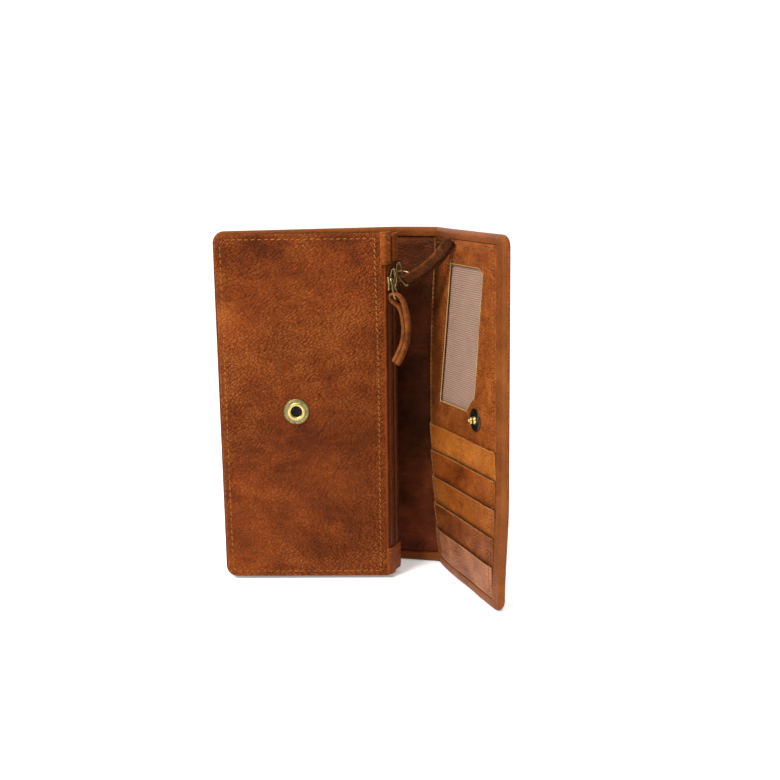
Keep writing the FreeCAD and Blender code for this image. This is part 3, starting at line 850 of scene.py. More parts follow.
def stitches(
    name, place, path, level, body, pitch=2.3, length=1.8, radius=0.27, slant=10.0, material=None,
    holes=True, seed=1, blend=None,
):
    """A row of stitches along a path of (u, z): each is a short bent thread that dives into the leather."""
    rng = np.random.RandomState(seed)
    groups = []
    dots = []
    for centre, heading in walk(path, pitch):
        turn = math.radians(slant + rng.uniform(-5, 5))
        direction = np.array(
            [
                heading[0] * math.cos(turn) - heading[1] * math.sin(turn),
                heading[0] * math.sin(turn) + heading[1] * math.cos(turn),
            ]
        )
        reach = length * rng.uniform(0.93, 1.05)
        jitter = rng.uniform(-0.07, 0.07, 2)
        line = []
        for k, rise in enumerate(STITCH_BEND):
            share = k / (len(STITCH_BEND) - 1) - 0.5
            spot = centre + jitter + direction * reach * share
            n = level(spot[0], spot[1]) + rise
            line.append(place.world(spot[0], float(n), spot[1]))
        line = np.array(line)
        side = np.cross(line[-1] - line[0], line[len(line) // 2] - (line[0] + line[-1]) / 2)
        groups.append(sweep_arrays(line, radius * MM, radius * 0.8 * MM, side, sides=7))
        spot = centre + heading * pitch / 2
        dots.append((spot, float(level(spot[0], spot[1]))))
    points, faces = join_arrays(groups)
    piece = make_object(name, points, faces, material or THREAD)
    pieces = [piece]
    # small dark cones at the stitch holes: painted shade in the holes
    if holes:
        groups = []
        for spot, n in dots:
            ring = []
            for k in range(8):
                angle = 2 * math.pi * k / 8
                ring.append(
                    place.world(spot[0] + 0.36 * math.cos(angle), n + 0.04, spot[1] + 0.36 * math.sin(angle))
                )
            ring.append(place.world(spot[0], n - 0.3, spot[1]))
            ring = np.array(ring)
            hole_faces = [(k, (k + 1) % 8, 8) for k in range(8)] + [tuple(range(8))]
            groups.append((ring, hole_faces))
        points, faces = join_arrays(groups)
        pieces.append(make_object(name + "_holes", points, faces, HOLE_SHADOW))
    for item in pieces:
        if blend:
            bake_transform(item)
        else:
            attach(item, body)
    return piece


# ------------------------------------------------------------------ cover

BORDER_WIDE = 5.0
FLAP_BORDER = 8.3
FLAP_RISE = 1.4
SKIN_LOW = -3.0
LINING_LEVEL = -0.75
LOW_LEVEL = -1.9
# lines pressed along the flap's free edge: distance from it, depth
FLAP_LINES = ((4.2, 0.22), (5.6, 0.12), (2.9, 0.1))


def flap_share(s):
    """0 on back and spine, 1 on the flap, where the border is thicker."""
    return ease((s - (CREASE_2 + 0.5)) / 5.0)


def border_level(s, z):
    rise = FLAP_RISE * flap_share(s)
    sag = 0.16 * waves(s, z, 26.0, 3) * ease((s - 3) / 10)
    return rise + sag


def cover_inner(s, z, d):
    """Border along the rim, then a drop below the lining or the card panel."""
    side_reach = np.minimum(z, HEIGHT - z)
    depth = (side_reach - BORDER_WIDE) / 0.5
    free = (COVER_END - s - FLAP_BORDER) / 0.5
    inside = ease(np.minimum(depth, np.where(s > CREASE_2 + 30, free, 9)))
    level = border_level(s, z)
    puff = 0.25 * np.sin(np.clip(side_reach / BORDER_WIDE, 0, 1) * math.pi)
    line = 0.0
    for offset, amount in FLAP_LINES:
        line = line - amount * np.exp(-(((COVER_END - s) - offset) / 0.35) ** 2) * flap_share(s)
    return (level + puff + line) * (1 - inside) + LOW_LEVEL * inside


def cover_outer(s, z, d):
    swell = 0.22 * waves(s, z, 60.0, 8) + 0.1 * waves(s, z, 18.0, 9)
    seam_line = -0.3 * np.exp(-((d - 3.4) / 0.55) ** 2)
    thicker = -0.35 * ease(d / 8.0)
    return SKIN_LOW + thicker + swell * ease(d / 6.0) - seam_line


def settle(piece, blend, replaces):
    if blend:
        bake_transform(piece)
    if replaces:
        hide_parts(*replaces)


def cover_piece(name, low, high, rims, corners, body=None, blend=None, replaces=()):
    edge_lines = [BORDER_WIDE - 0.1, BORDER_WIDE + 0.15, BORDER_WIDE + 0.4, BORDER_WIDE + 0.7]
    z_lines = [round(v, 3) for e in edge_lines for v in (e, HEIGHT - e)]
    u_lines = []
    if "r" in rims:
        u_lines = [round(COVER_END - FLAP_BORDER - v, 3) for v in (-0.1, 0.15, 0.4, 0.7)]
        u_lines += [round(COVER_END - v, 3) for v in (4.2, 3.85, 4.55, 2.9, 5.6, 5.25, 5.95, 6.6, 7.4)]
    piece = relief(
        name, COVER, (low, high), (0.0, HEIGHT), cover_inner, cover_outer, OUTSIDE,
        rims=rims, radius=6.0, corners=corners, soften=2.2, step=1.3, extra_u=u_lines, extra_z=z_lines,
        body=body, slot="cognac_leather",
    )
    piece.data.materials.append(BORDER)
    mark_border(piece)
    settle(piece, blend, replaces)


def mark_border(piece):
    """The rim and the turned-in border get the smoother border leather."""
    crosses_crease = "bend" in piece.name
    for polygon in piece.data.polygons:
        x, y, z = (value / MM for value in polygon.center)
        from_end = min(z, HEIGHT - z)
        if crosses_crease and from_end > BORDER_WIDE + 1.5:
            continue
        outward = outside_amount(x, y)
        if outward > 1.9 or (outward > 0.9 and from_end >= 1.2):
            continue
        polygon.material_index = 1


COVER_FLATS = (
    (Flat(BACK_LEFT, SPINE_Y, 0.0), -5.0, CREASE_1 + 2.0),
    (Flat(SPINE_X, SPINE_Y, SPINE_TURN), -2.0, CREASE_2 - CREASE_1 + 2.0),
    (FLAP, -2.0, FLAP_DEEP + 5.0),
)


def outside_amount(x, y):
    """How far a point lies towards the cover's outer face, from its inner line, in millimetres."""
    best = None
    for place, low, high in COVER_FLATS:
        dx = x - place.x
        dy = y - place.y
        u = dx * place.along[0] + dy * place.along[1]
        n = dx * place.inward[0] + dy * place.inward[1]
        if low <= u <= high and (best is None or abs(n) < abs(best)):
            best = n
    return -(best if best is not None else 0.0)


MID_SPINE = (CREASE_1 + CREASE_2) / 2
BEND_REACH = 7.0
BLEND_REACH = 4.5
BEND_START = CREASE_1 - BEND_REACH
BEND_END = CREASE_2 + BEND_REACH


def across_crease(near_body, far_body, crease):
    """What a blend needs for a piece that bends from one body to the next at a crease."""
    near = COVER.point(crease - BLEND_REACH, 0, HEIGHT / 2)
    far = COVER.point(crease + BLEND_REACH, 0, HEIGHT / 2)
    return near_body, far_body, near, far


AT_SPINE = across_crease("back", "spine", CREASE_1)
AT_FLAP = across_crease("spine", "flap", CREASE_2)
cover_piece(
    "cover_back", 0.0, BEND_START, "lft", "lf lt", body="back",
    replaces=["back_outer", "back_border_top", "back_border_foot"],
)
cover_piece(
    "cover_bend_1", BEND_START, MID_SPINE, "ft", "", blend=AT_SPINE,
    replaces=["spine_crease_skin", "spine_outer", "spine_border_top", "spine_border_foot"],
)
cover_piece(
    "cover_bend_2", MID_SPINE, BEND_END, "ft", "", blend=AT_FLAP, replaces=["flap_crease_skin"],
)
cover_piece(
    "cover_flap", BEND_END, COVER_END, "rft", "rf rt", body="flap",
    replaces=["flap_outer", "flap_border_edge", "flap_border_top", "flap_border_foot"],
)


def lining_level(s, z):
    from_border = np.minimum(z - BORDER_WIDE, HEIGHT - BORDER_WIDE - z)
    groove = -0.9 * np.exp(-((np.clip(from_border, 0, 99) / 1.6) ** 2))
    swell = 0.35 * waves(s, z, 42.0, 21) * ease(from_border / 10) + 0.1 * waves(s, z, 13.0, 22)
    return LINING_LEVEL + 0.35 + groove + swell


def lining_piece(name, low, high, rims, body=None, blend=None, replaces=()):
    piece = relief(
        name, COVER, (low, high), (4.4, 185.6),
        *sheet(lining_level, 0.9), INNER,
        rims=rims + "ft", soften=0.5, step=1.5, body=body, slot="dark_leather",
    )
    settle(piece, blend, replaces)


lining_piece("lining_back", 3.0, BEND_START, "l", body="back", replaces=["back_lining"])
lining_piece("lining_bend_1", BEND_START, MID_SPINE, "", blend=AT_SPINE, replaces=["spine_lining"])
lining_piece("lining_bend_2", MID_SPINE, BEND_END, "", blend=AT_FLAP)

# ------------------------------------------------------------------ flap inside

PANEL_LEFT = 3.0
PANEL_RIGHT = FLAP_DEEP - FLAP_BORDER - 0.35
PANEL_FOOT = BORDER_WIDE + 0.3
PANEL_TOP = HEIGHT - BORDER_WIDE - 0.3
POCKET_FIRST = 81.4
POCKET_STEP = 14.9
POCKET_TUCK = 4.0
LAST_POCKET = len(POCKET_TONES) - 1
POCKET_FOLD_SHADE = (-0.05, -0.3, -0.2, -0.3, -0.28)
WINDOW = {"left": 14.8, "right": 57.5, "foot": 96.0, "top": 172.0, "cut": 9.0, "lean": 12.5}


def panel_level(u, z):
    puff = 0.3 * waves(u, z, 50.0, 31) + 0.1 * waves(u, z, 15.0, 32)
    return 1.5 + puff * ease(np.minimum(np.minimum(u - PANEL_LEFT, PANEL_RIGHT - u), 12) / 12)


def window_outline(grow, steps=7, round_top=(8.0, 5.0)):
    """The window's outline in (u, z), with round upper corners and one cut lower corner."""
    left = WINDOW["left"] - grow
    right = WINDOW["right"] + grow
    foot = WINDOW["foot"] - grow
    top = WINDOW["top"] + grow
    cut = WINDOW["cut"]
    points = []

    def arc(cu, cz, radius, start, stop):
        wide, high = radius if isinstance(radius, tuple) else (radius, radius)
        for k in range(steps + 1):
            angle = math.radians(start + (stop - start) * k / steps)
            points.append((cu + wide * math.cos(angle), cz + high * math.sin(angle)))

    arc(left + 1.5, foot + 1.5, 1.5, 180, 270)
    arc(right - cut - 1.5, foot + 2.0, 2.0, 270, 318)
    arc(right - 2.0, foot + cut + 1.0, 2.0, 318, 360)
    arc(right - round_top[0], top - round_top[1], round_top, 0, 90)
    arc(left + 1.5, top - 1.5, 1.5, 90, 180)
    lean = WINDOW["lean"] / (WINDOW["top"] - WINDOW["foot"])
    return [(u + lean * (z - WINDOW["foot"]), z) for u, z in points]


def panel_shade(u, z):
    """Painted shade beside the fold, most of all near the top, and painted shade under the hem; the colour
    is a little paler in the outer foot corner.
    """
    beside_fold = (1 - ease((u - 5) / 17)) * np.interp(z, (88, 126, 148, 172), (0.29, 0.53, 0.84, 0.92))
    under_hem = 0.42 * ease((z - 170) / 6) * (1 - ease((u - 16) / 16)) * ease((u - 8) / 8)
    pale = 0.16 * ease((u - 58) / 14) * (1 - ease((z - 105) / 35))
    return pale - beside_fold - under_hem + 0.07 * waves(u, z, 18.0, 34)


panel = relief(
    "id_window_panel", FLAP_FACE, (PANEL_LEFT, PANEL_RIGHT), (POCKET_FIRST - 1.2, PANEL_TOP),
    *sheet(panel_level, 0.75), SUEDE,
    rims="lrft", soften=0.5, step=1.4, tone=panel_shade, slot="cognac_leather",
)
cut_outline = window_outline(0.0)
cut_points = [FLAP_FACE.world(u, n, z) for n in (-6.0, 8.0) for u, z in cut_outline]
cutter = make_object("window_cutter", np.array(cut_points), prism_faces(len(cut_outline)), SUEDE)
trim = panel.modifiers.new("window", "BOOLEAN")
trim.object = cutter
trim.operation = "DIFFERENCE"
trim.solver = "EXACT"
bpy.context.view_layer.update()
evaluated = panel.evaluated_get(bpy.context.evaluated_depsgraph_get())
cut_mesh = bpy.data.meshes.new_from_object(evaluated)
panel.modifiers.clear()
panel.data = cut_mesh
bpy.data.objects.remove(cutter)
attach(panel, "flap")
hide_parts("id_panel", "card_backing")

outline = window_outline(-0.05)
level_points = [FLAP_FACE.world(u, float(panel_level(u, z)) - 0.2, z) for u, z in outline]
edge_path = spline(np.array(level_points), per=3, closed=True)
slanted = np.array([0.0, 0.0, 1.0]) + FLAP.direction(1, 0)
rod(
    "window_cut_edge", edge_path, 0.3, 0.3, slanted, GOLD_EDGE, "flap", "cognac_leather", sides=10,
    closed=True,
)


def rib_level(z):
    return -0.14 * np.cos(2 * math.pi * z / RIB_PITCH)


ribs_z = [round(v, 3) for v in np.arange(WINDOW["foot"] - 3, WINDOW["top"] + 3, RIB_PITCH / 4)]
relief(
    "window_ribbed_lining", FLAP_FACE, (WINDOW["left"] - 3.0, WINDOW["right"] + WINDOW["lean"] + 3.0),
    (WINDOW["foot"] - 3.5, WINDOW["top"] + 3.5),
    lambda u, z, d: 0.2 + rib_level(z) + 0 * u, level_at(-0.2), RIBS,
    rims="lr", soften=0.3, step=3.0, extra_z=ribs_z, body="flap", slot="ribbed_lining",
    replaces=["id_window_lining", "id_window_film"],
)
relief(
    "flap_board", FLAP_FACE, (3.0, FLAP_DEEP - 3.0), (3.0, HEIGHT - 3.0),
    level_at(-0.25), level_at(-1.2), BOARD,
    rims="lrft", soften=0.4, step=6.0, body="flap", slot="padding_board", replaces=["flap_padding"],
)


def pocket_level(number):
    """The front face of a card pocket: its top edge stands proud and its foot tucks under the next."""
    top = POCKET_FIRST - number * POCKET_STEP
    foot = PANEL_FOOT if number == LAST_POCKET else top - POCKET_STEP - POCKET_TUCK

    def level(u, z):
        share = np.clip((z - foot) / (top - foot), 0, 1)
        lip = 0.28 * np.exp(-((top - z) / 1.3) ** 2)
        swell = 0.16 * waves(u, z, 30.0, 50 + number)
        side = ease(np.minimum(u - PANEL_LEFT, PANEL_RIGHT - u) / 7.0)
        return 1.18 + 1.05 * share + (lip + swell + 0.25 * share) * side

    return top, foot, level


def pocket_shade(number):
    """Darker beside the next pocket's mouth and near the fold, a little lighter towards the snap side."""
    top = POCKET_FIRST - number * POCKET_STEP
    mouth = top - POCKET_STEP

    def shade(u, z):
        beside_fold = POCKET_FOLD_SHADE[number] * np.exp(-(u - PANEL_LEFT) / 16.0)
        total = beside_fold + 0.05 * waves(u, z, 14.0, 170 + number)
        if number < LAST_POCKET:
            total = total - 0.42 * np.exp(-(((z - mouth) / 1.3) ** 2))
        return total - 0.12 * np.exp(-((PANEL_RIGHT - u) / 2.2))

    return shade


flap_normal = np.array(FLAP.direction(0, 1))
across = np.linspace(PANEL_LEFT + 0.7, PANEL_RIGHT - 0.7, 60)
for number, tones in enumerate(POCKET_TONES):
    top, foot, level = pocket_level(number)
    skin = leather(
        f"pocket_leather_{number + 1}", *tones, clouds=34.0, grain=760.0, depth=0.45, rough=0.42,
        crease=0.5, shift=3.0 + number * 0.37,
    )
    relief(
        f"card_pocket_{number + 1}_skin", FLAP_FACE, (PANEL_LEFT, PANEL_RIGHT), (foot, top),
        *sheet(level, 0.62), skin,
        rims="lrft", soften=0.42, step=1.1, tone=pocket_shade(number), body="flap", slot="cognac_leather",
        replaces=[f"card_pocket_{number + 1}"],
    )
    # a light tube along the pocket's top edge: a painted highlight on its folded edge
    fold = [FLAP_FACE.world(u, float(level(u, top - 0.3)) - 0.02, top - 0.16) for u in across]
    rod(
        f"card_pocket_{number + 1}_folded_edge", fold, 0.2, 0.24, flap_normal, HIGHLIGHT_EDGE, "flap",
        "cognac_leather", sides=10,
    )
    # a dark tube just above this pocket's top edge, on the pocket above: the painted shadow in this pocket's
    # mouth
    if number:
        above = pocket_level(number - 1)[2]
        gap = [FLAP_FACE.world(u, float(above(u, top + 0.35)) - 0.12, top + 0.32) for u in across]
        rod(
            f"card_pocket_{number + 1}_mouth", gap, 0.26, 0.26, flap_normal, MOUTH_SHADOW, "flap",
            "dark_leather", sides=8,
        )


def inside_level(u, z):
    """The visible face of the flap's inside at (u, z)."""
    if z > POCKET_FIRST:
        return float(panel_level(u, z))
    number = min(LAST_POCKET, int((POCKET_FIRST - z) / POCKET_STEP))
    return float(pocket_level(number)[2](u, z))


# two tubes down the card panel's sides: the dark one sunk in the gap by the flap border is a painted shadow,
# the light one along the left edge a painted highlight
for name, u, sink, thick, skin, slot in (
    ("card_panel_border_shadow", PANEL_RIGHT + 0.3, 0.75, 0.36, MOUTH_SHADOW, "dark_leather"),
    ("card_panel_left_edge", PANEL_LEFT + 0.35, 0.12, 0.26, HIGHLIGHT_EDGE, "cognac_leather"),
):
    run = [
        FLAP_FACE.world(u, inside_level(min(u, PANEL_RIGHT - 0.4), z) - sink, z)
        for z in np.linspace(PANEL_FOOT + 0.6, PANEL_TOP - 0.6, 150)
    ]
    rod(name, run, thick, thick, flap_normal, skin, "flap", slot, sides=10)

right = PANEL_RIGHT - 3.2
left = PANEL_LEFT + 1.8
foot = PANEL_FOOT + 2
top = PANEL_TOP - 3.0
hem = PANEL_TOP - 2.6
round_window = window_outline(2.3)
for name, path, pitch, length, radius, yarn, seed in (
    ("card_panel_stitches_right", [(right, foot), (right, top)], 2.4, 1.6, 0.22, THREAD, 5),
    ("card_panel_stitches_left", [(left, foot), (left, top)], 2.6, 1.8, 0.2, THREAD, 6),
    (
        "card_panel_stitches_top", [(PANEL_LEFT + 2.5, hem), (PANEL_RIGHT - 3.8, hem)], 2.1, 1.45, 0.17,
        THREAD_DARK, 7,
    ),
    ("window_stitches", round_window + [round_window[0]], 2.0, 1.35, 0.15, THREAD_DARK, 8),
):
    stitches(name, FLAP_FACE, path, inside_level, "flap", pitch, length, radius, 4, material=yarn, seed=seed)

# snap stud on the flap, and its cap outside
SNAP_Z = 93.6
STUD_U = 61.0
STUD_BASE = 1.75
turned(
    "snap_stud_base", FLAP, STUD_U, SNAP_Z, STUD_BASE,
    [
        (5.4, -0.3), (6.05, 0), (6.15, 0.35), (5.9, 0.62), (5.4, 0.72), (4.7, 0.58), (4.0, 0.5),
        (3.2, 0.55), (2.6, 0.8), (2.2, 0.9), (0.4, 0.9),
    ],
    BRONZE, body="flap", slot="dark_bronze", replaces=["snap_stud_disc"],
)
turned(
    "snap_stud_knob", FLAP, STUD_U, SNAP_Z, STUD_BASE + 0.8,
    [
        (2.25, 0), (2.2, 0.25), (1.75, 0.5), (1.5, 0.8), (1.5, 1.3), (1.75, 1.6), (1.95, 1.95),
        (1.9, 2.3), (1.6, 2.6), (1.1, 2.78), (0.9, 2.6), (0.75, 2.3), (0.2, 2.25),
    ],
    RIM_BRASS, body="flap", slot="antique_brass", replaces=["snap_stud_post"],
)
turned(
    "snap_outside_cap", FLAP, STUD_U, SNAP_Z, 0.0,
    [
        (6.0, -2.9), (6.25, -3.25), (6.2, -3.6), (5.9, -3.85), (5.0, -4.15), (3.6, -4.38), (2.0, -4.5),
        (0.3, -4.54),
    ],
    RIM_BRASS, body="flap", slot="dark_bronze", replaces=["snap_cap"],
)

# ------------------------------------------------------------------ zip leaf

FRONT = 2.4
LEAF_FOOT = 1.5
LEAF_TOP = 188.5
FRONT_SPAN = (-1.5, 88.4)
SOCKET_U = 39.7


def front_level(u, z, d):
    puff = 0.45 * ease((d - 2.2) / 9.0) * (1 + 0.5 * waves(u, z, 70.0, 61))
    ripple = 0.14 * waves(u, z, 22.0, 62) * ease(d / 5.0)
    stitch_groove = -0.22 * np.exp(-((d - 2.9) / 0.55) ** 2)
    reach = np.hypot(u - SOCKET_U, z - SNAP_Z)
    press = -0.4 * np.exp(-((reach / 9.0) ** 2)) - 1.2 * (1 - ease((reach - 3.2) / 1.2))
    return FRONT - 0.25 + puff + ripple + stitch_groove + press


def edge_distance(u, z):
    across = np.minimum(u - FRONT_SPAN[0], FRONT_SPAN[1] - u)
    return np.minimum(across, np.minimum(z - LEAF_FOOT, LEAF_TOP - z))


# soft patches where the colour is made lighter or darker: along, up, reach along, reach up, amount
PATCHES = (
    (4, 137, 15, 15, 0.30), (8, 45, 20, 20, 0.14), (50, 4, 55, 8, 0.26), (76, 160, 16, 12, 0.08),
    (20, 112, 12, 10, 0.10),
    (72, 80, 20, 24, -0.26), (30, 128, 10, 14, -0.12), (34, 84, 16, 9, -0.12), (8, 83, 12, 8, -0.14),
    (20, 174, 22, 9, -0.12), (76, 38, 14, 22, -0.14), (52, 122, 10, 8, -0.08), (60, 150, 12, 10, 0.05),
    (14, 66, 10, 7, -0.08),
)


def panel_tone(u, z):
    total = 0.0 * u
    for along, up, reach_u, reach_z, amount in PATCHES:
        total = total + amount * np.exp(-(((u - along) / reach_u) ** 2) - ((z - up) / reach_z) ** 2)
    return total + 0.05 * waves(u, z, 16.0, 64)


SOCKET_LINES = np.concatenate([np.arange(-5.0, 5.01, 0.5), [-7, -6, 6, 7]])
relief(
    "leaf_front_panel", LEAF_FACE, FRONT_SPAN, (LEAF_FOOT, LEAF_TOP),
    front_level, level_at(FRONT - 1.55), LEATHER,
    rims="lrft", radius=5.5, corners="lf lt", soften=0.9, step=1.2,
    extra_u=[round(SOCKET_U + v, 3) for v in SOCKET_LINES],
    extra_z=[round(SNAP_Z + v, 3) for v in SOCKET_LINES],
    tone=panel_tone, body="leaf", slot="cognac_leather", replaces=["front_panel"],
)


def front_face(u, z):
    return float(front_level(u, z, edge_distance(u, z)))


SEAM_INSET = 2.9
left = FRONT_SPAN[0] + SEAM_INSET
right = FRONT_SPAN[1] - SEAM_INSET - 1.4
foot = LEAF_FOOT + SEAM_INSET
top = LEAF_TOP - SEAM_INSET
corner = 3.0
arc = [(corner * math.cos(a), corner * math.sin(a)) for a in np.radians([0, 30, 60, 90])]
corner_arc_top = [(left + corner - c, top - corner + s) for c, s in arc]
corner_arc_foot = [(left + corner - s, foot + corner - c) for c, s in arc]
stitches(
    "front_stitches_outer", LEAF_FACE,
    [(right, foot)] + corner_arc_foot + corner_arc_top + [(right, top)], front_face, "leaf", pitch=3.5,
    length=2.6, radius=0.25, slant=6, seed=11,
)
stitches(
    "front_stitches_mouth", LEAF_FACE, [(right, top + 1.0), (right, foot - 1.0)], front_face, "leaf",
    pitch=3.0, length=2.55, radius=0.27, slant=17, seed=12,
)

# snap socket
turned(
    "snap_socket_face", LEAF, SOCKET_U, SNAP_Z, FRONT,
    [
        (6.3, -0.2), (6.85, 0.15), (6.92, 0.45), (6.7, 0.75), (6.3, 0.86), (5.9, 0.84), (5.2, 0.9),
        (4.7, 0.96), (4.4, 0.6), (4.4, -0.2),
    ],
    OLD_BRASS, ring=True, body="leaf", slot="antique_brass", replaces=["snap_socket_ring"],
)
turned(
    "snap_socket_lip", LEAF, SOCKET_U, SNAP_Z, FRONT,
    [
        (4.85, 0.6), (4.8, 1.02), (4.5, 1.22), (4.1, 1.32), (3.6, 1.32), (3.2, 1.16), (3.0, 0.9),
        (2.95, 0.2), (3.0, -0.8), (4.2, -0.8),
    ],
    RIM_BRASS, ring=True, body="leaf", slot="antique_brass",
)
# the hole in the socket's middle: a shallow near-black well, painted shade
turned(
    "snap_socket_well", LEAF, SOCKET_U, SNAP_Z, FRONT,
    [(3.15, -0.9), (3.1, -0.65), (2.6, -0.6), (2.1, -0.75), (0.2, -0.8)],
    WELL_SHADOW, body="leaf", slot="antique_brass", replaces=["snap_socket_cup"],
)
for name, offset in (("snap_socket_spring_left", -2.0), ("snap_socket_spring_right", 2.0)):
    path = [
        LEAF.world(SOCKET_U + offset * math.cos(t), FRONT - 0.1, SNAP_Z + 2.5 * math.sin(t))
        for t in np.linspace(-0.9, 0.9, 12)
    ]
    rod(name, path, 0.2, 0.2, (1.0, 0.0, 0.2), BRONZE, "leaf", "antique_brass", sides=10)
DOT_TAPER = [0.2 * MM, 0.19 * MM, 0.09 * MM]
ring_dots = []
for radius, number in ((5.35, 34), (6.05, 40)):
    for k in range(number):
        angle = 2 * math.pi * k / number
        u = SOCKET_U + radius * math.cos(angle)
        z = SNAP_Z + radius * math.sin(angle)
        base = LEAF.world(u, FRONT + 0.8, z)
        tip = LEAF.world(u, FRONT + 1.02, z)
        dot = np.array([base, (base + tip) / 2, tip])
        ring_dots.append(sweep_arrays(dot, DOT_TAPER, DOT_TAPER, (0.0, 0.0, 1.0), sides=6))
points, faces = join_arrays(ring_dots)
make_object("snap_socket_stipple", points, faces, RIM_BRASS, body="leaf", slot="antique_brass")

# walls of the two zip pockets
relief(
    "leaf_front_lining", LEAF, (2.2, 86.7), (5.0, 185.0),
    level_at(FRONT - 1.6), level_at(0.75), LINING,
    rims="lrft", soften=0.2, step=8.0, body="leaf", slot="lining_cloth", replaces=["front_lining"],
)
divider = LEAF.child(3.0, 0.45, -3.5)
relief(
    "leaf_divider", divider, (0.0, 86.6), (6.0, 184.0),
    lambda u, z, d: 0.12 * waves(u, z, 40.0, 71),
    lambda u, z, d: -0.55 - 0.25 * u / 88 + 0.12 * waves(u, z, 40.0, 71),
    INNER,
    rims="lrft", soften=0.35, step=3.0, body="leaf", slot="dark_leather", replaces=["pocket_divider"],
)
rear = LEAF.child(3.0, -0.1, -7.75)
relief(
    "leaf_rear_panel", rear, (0.0, 91.2), (3.5, 186.5),
    lambda u, z, d: 0.2 * waves(u, z, 50.0, 72),
    lambda u, z, d: -0.8 - 0.2 * u / 90 + 0.2 * waves(u, z, 50.0, 73) * ease(d / 6),
    INNER,
    rims="lrft", soften=0.45, step=2.0, body="leaf", slot="dark_leather", replaces=["rear_panel"],
)
stitches(
    "rear_stitches", rear, [(88.4, 6.0), (88.4, 184.0)],
    lambda u, z: -1.0 + 0.2 * float(waves(u, z, 50.0, 73)),
    "leaf", pitch=2.3, length=1.7, radius=0.24, seed=14, holes=False,
)


def gusset(name, low, high, node):
    """A folded cloth wall that closes the pockets at one end."""
    outline = [
        (3.4, 0.65), (86.2, 0.65), (88.6, -3.0), (89.4, -8.0), (91.2, -11.4), (45.0, -5.6), (3.4, -0.3),
    ]
    points = [LEAF.world(a, b, z) for z in (low, high) for a, b in outline]
    return make_object(
        name, np.array(points), prism_faces(len(outline)), LINING, body="leaf", slot="lining_cloth",
        replaces=[node],
    )


gusset("leaf_gusset_top", 184.1, 185.1, "top_gusset")
gusset("leaf_gusset_foot", 4.9, 5.9, "foot_gusset")
seam_path = [(LEAF_X * MM, (LEAF_Y + 0.1) * MM, z * MM) for z in np.linspace(6.2, 183.8, 60)]
rod(
    "leaf_seam_roll", seam_path, 0.95, 0.95, (1.0, 0.0, 0.0), INNER, "back", "dark_leather",
    ["leaf_seam"], sides=14,
)

# ------------------------------------------------------------------ zips

TAPE_FOOT = 3.0
TAPE_TOP = 187.0
ZIPS = (
    {"n": 1, "place": LEAF.child(89.2, -1.6, -60.0), "slider": 161.8, "tab": 170.5},
    {"n": 2, "place": LEAF.child(91.8, -8.4, -67.0), "slider": 164.5, "tab": 173.0},
)


def zip_coil(name, place, foot, top, body):
    """Two rows of small bent teeth that meet in the middle."""
    groups = []
    pitch = 1.0
    count = int((top - foot) / pitch)
    for k in range(count):
        for side in (-1, 1):
            z = foot + (k + (0.25 if side < 0 else 0.75)) * pitch
            line = []
            for share, n in (
                (1.15, 0.12), (1.18, 0.55), (0.8, 0.95), (0.2, 1.02), (-0.22, 0.8), (-0.3, 0.4),
            ):
                line.append(place.world(side * share, n, z + 0.16 * share))
            line = spline(np.array(line), per=2)
            groups.append(sweep_arrays(line, 0.24 * MM, 0.24 * MM, (0.0, 0.0, 1.0), sides=6))
    points, faces = join_arrays(groups)
    return make_object(name, points, faces, COIL, body=body, slot="zip_coil")


def welt(name, place, low, high, n, node, skin):
    """A turned leather edge beside the zip, n proud of its tape."""
    relief(
        name, place, (low, high), (TAPE_FOOT, TAPE_TOP),
        lambda u, z, d: n + 0.1 * waves(u, z, 30.0, 81), level_at(0.0), skin,
        rims="lrft", soften=0.42, step=1.5, body="leaf", slot="tan_trim_leather", replaces=[node],
    )


class Curved:
    """A sheet frame that follows a curved line in plan: u runs along the line, n outwards from it."""

    def __init__(self, base, line):
        self.base = base
        self.line = spline(np.array([(a, m, 0.0) for a, m in line]), per=12)[:, :2]
        runs = np.linalg.norm(np.diff(self.line, axis=0), axis=1)
        self.reach = np.concatenate([[0], np.cumsum(runs)])
        slope = np.gradient(self.line, axis=0)
        slope /= np.linalg.norm(slope, axis=1)[:, None]
        self.normal = np.stack([-slope[:, 1], slope[:, 0]], 1)

    def world(self, u, n, z):
        u, n, z = np.broadcast_arrays(np.asarray(u, float), n, z)
        spot = [
            np.interp(u, self.reach, self.line[:, k]) + n * np.interp(u, self.reach, self.normal[:, k])
            for k in (0, 1)
        ]
        return self.base.world(spot[0], spot[1], z)


def folded_tab(name, line, foot, top, node):
    """An end stop that wraps from the front panel over the zip."""
    place = Curved(LEAF, line)
    wide = place.reach[-1]

    def level(u, z, d):
        return 0.95 + 0.1 * waves(u, z, 12.0, 83) - 0.15 * np.exp(-(((d - 1.3) / 0.35) ** 2))

    relief(
        name, place, (0.0, wide), (foot, top), level, level_at(0.0), TRIM,
        rims="lrft", soften=0.5, step=0.5, body="leaf", slot="tan_trim_leather", replaces=[node],
    )

    def face(u, z):
        return float(level(u, z, min(u, wide - u, z - foot, top - z)))

    at_top = foot > HEIGHT / 2
    inner_end = foot + 2.2 if at_top else top - 2.2
    stitches(
        name + "_stitches", place, [(0.7, inner_end), (wide - 1.2, inner_end)], face, "leaf", pitch=2.3,
        length=1.8, radius=0.24, slant=6, seed=int(foot) + 3,
    )
    if at_top:
        stitches(
            name + "_top_stitches", place, [(0.7, top - 2.0), (wide - 1.2, top - 2.0)], face, "leaf",
            pitch=2.3, length=1.8, radius=0.24, slant=-8, seed=int(foot) + 4,
        )
        stitches(
            name + "_side_stitches", place, [(4.6, inner_end), (4.6, top - 2.0)], face, "leaf", pitch=2.4,
            length=1.9, radius=0.24, slant=8, seed=int(foot) + 5,
        )


TAB_HALF = 3.25


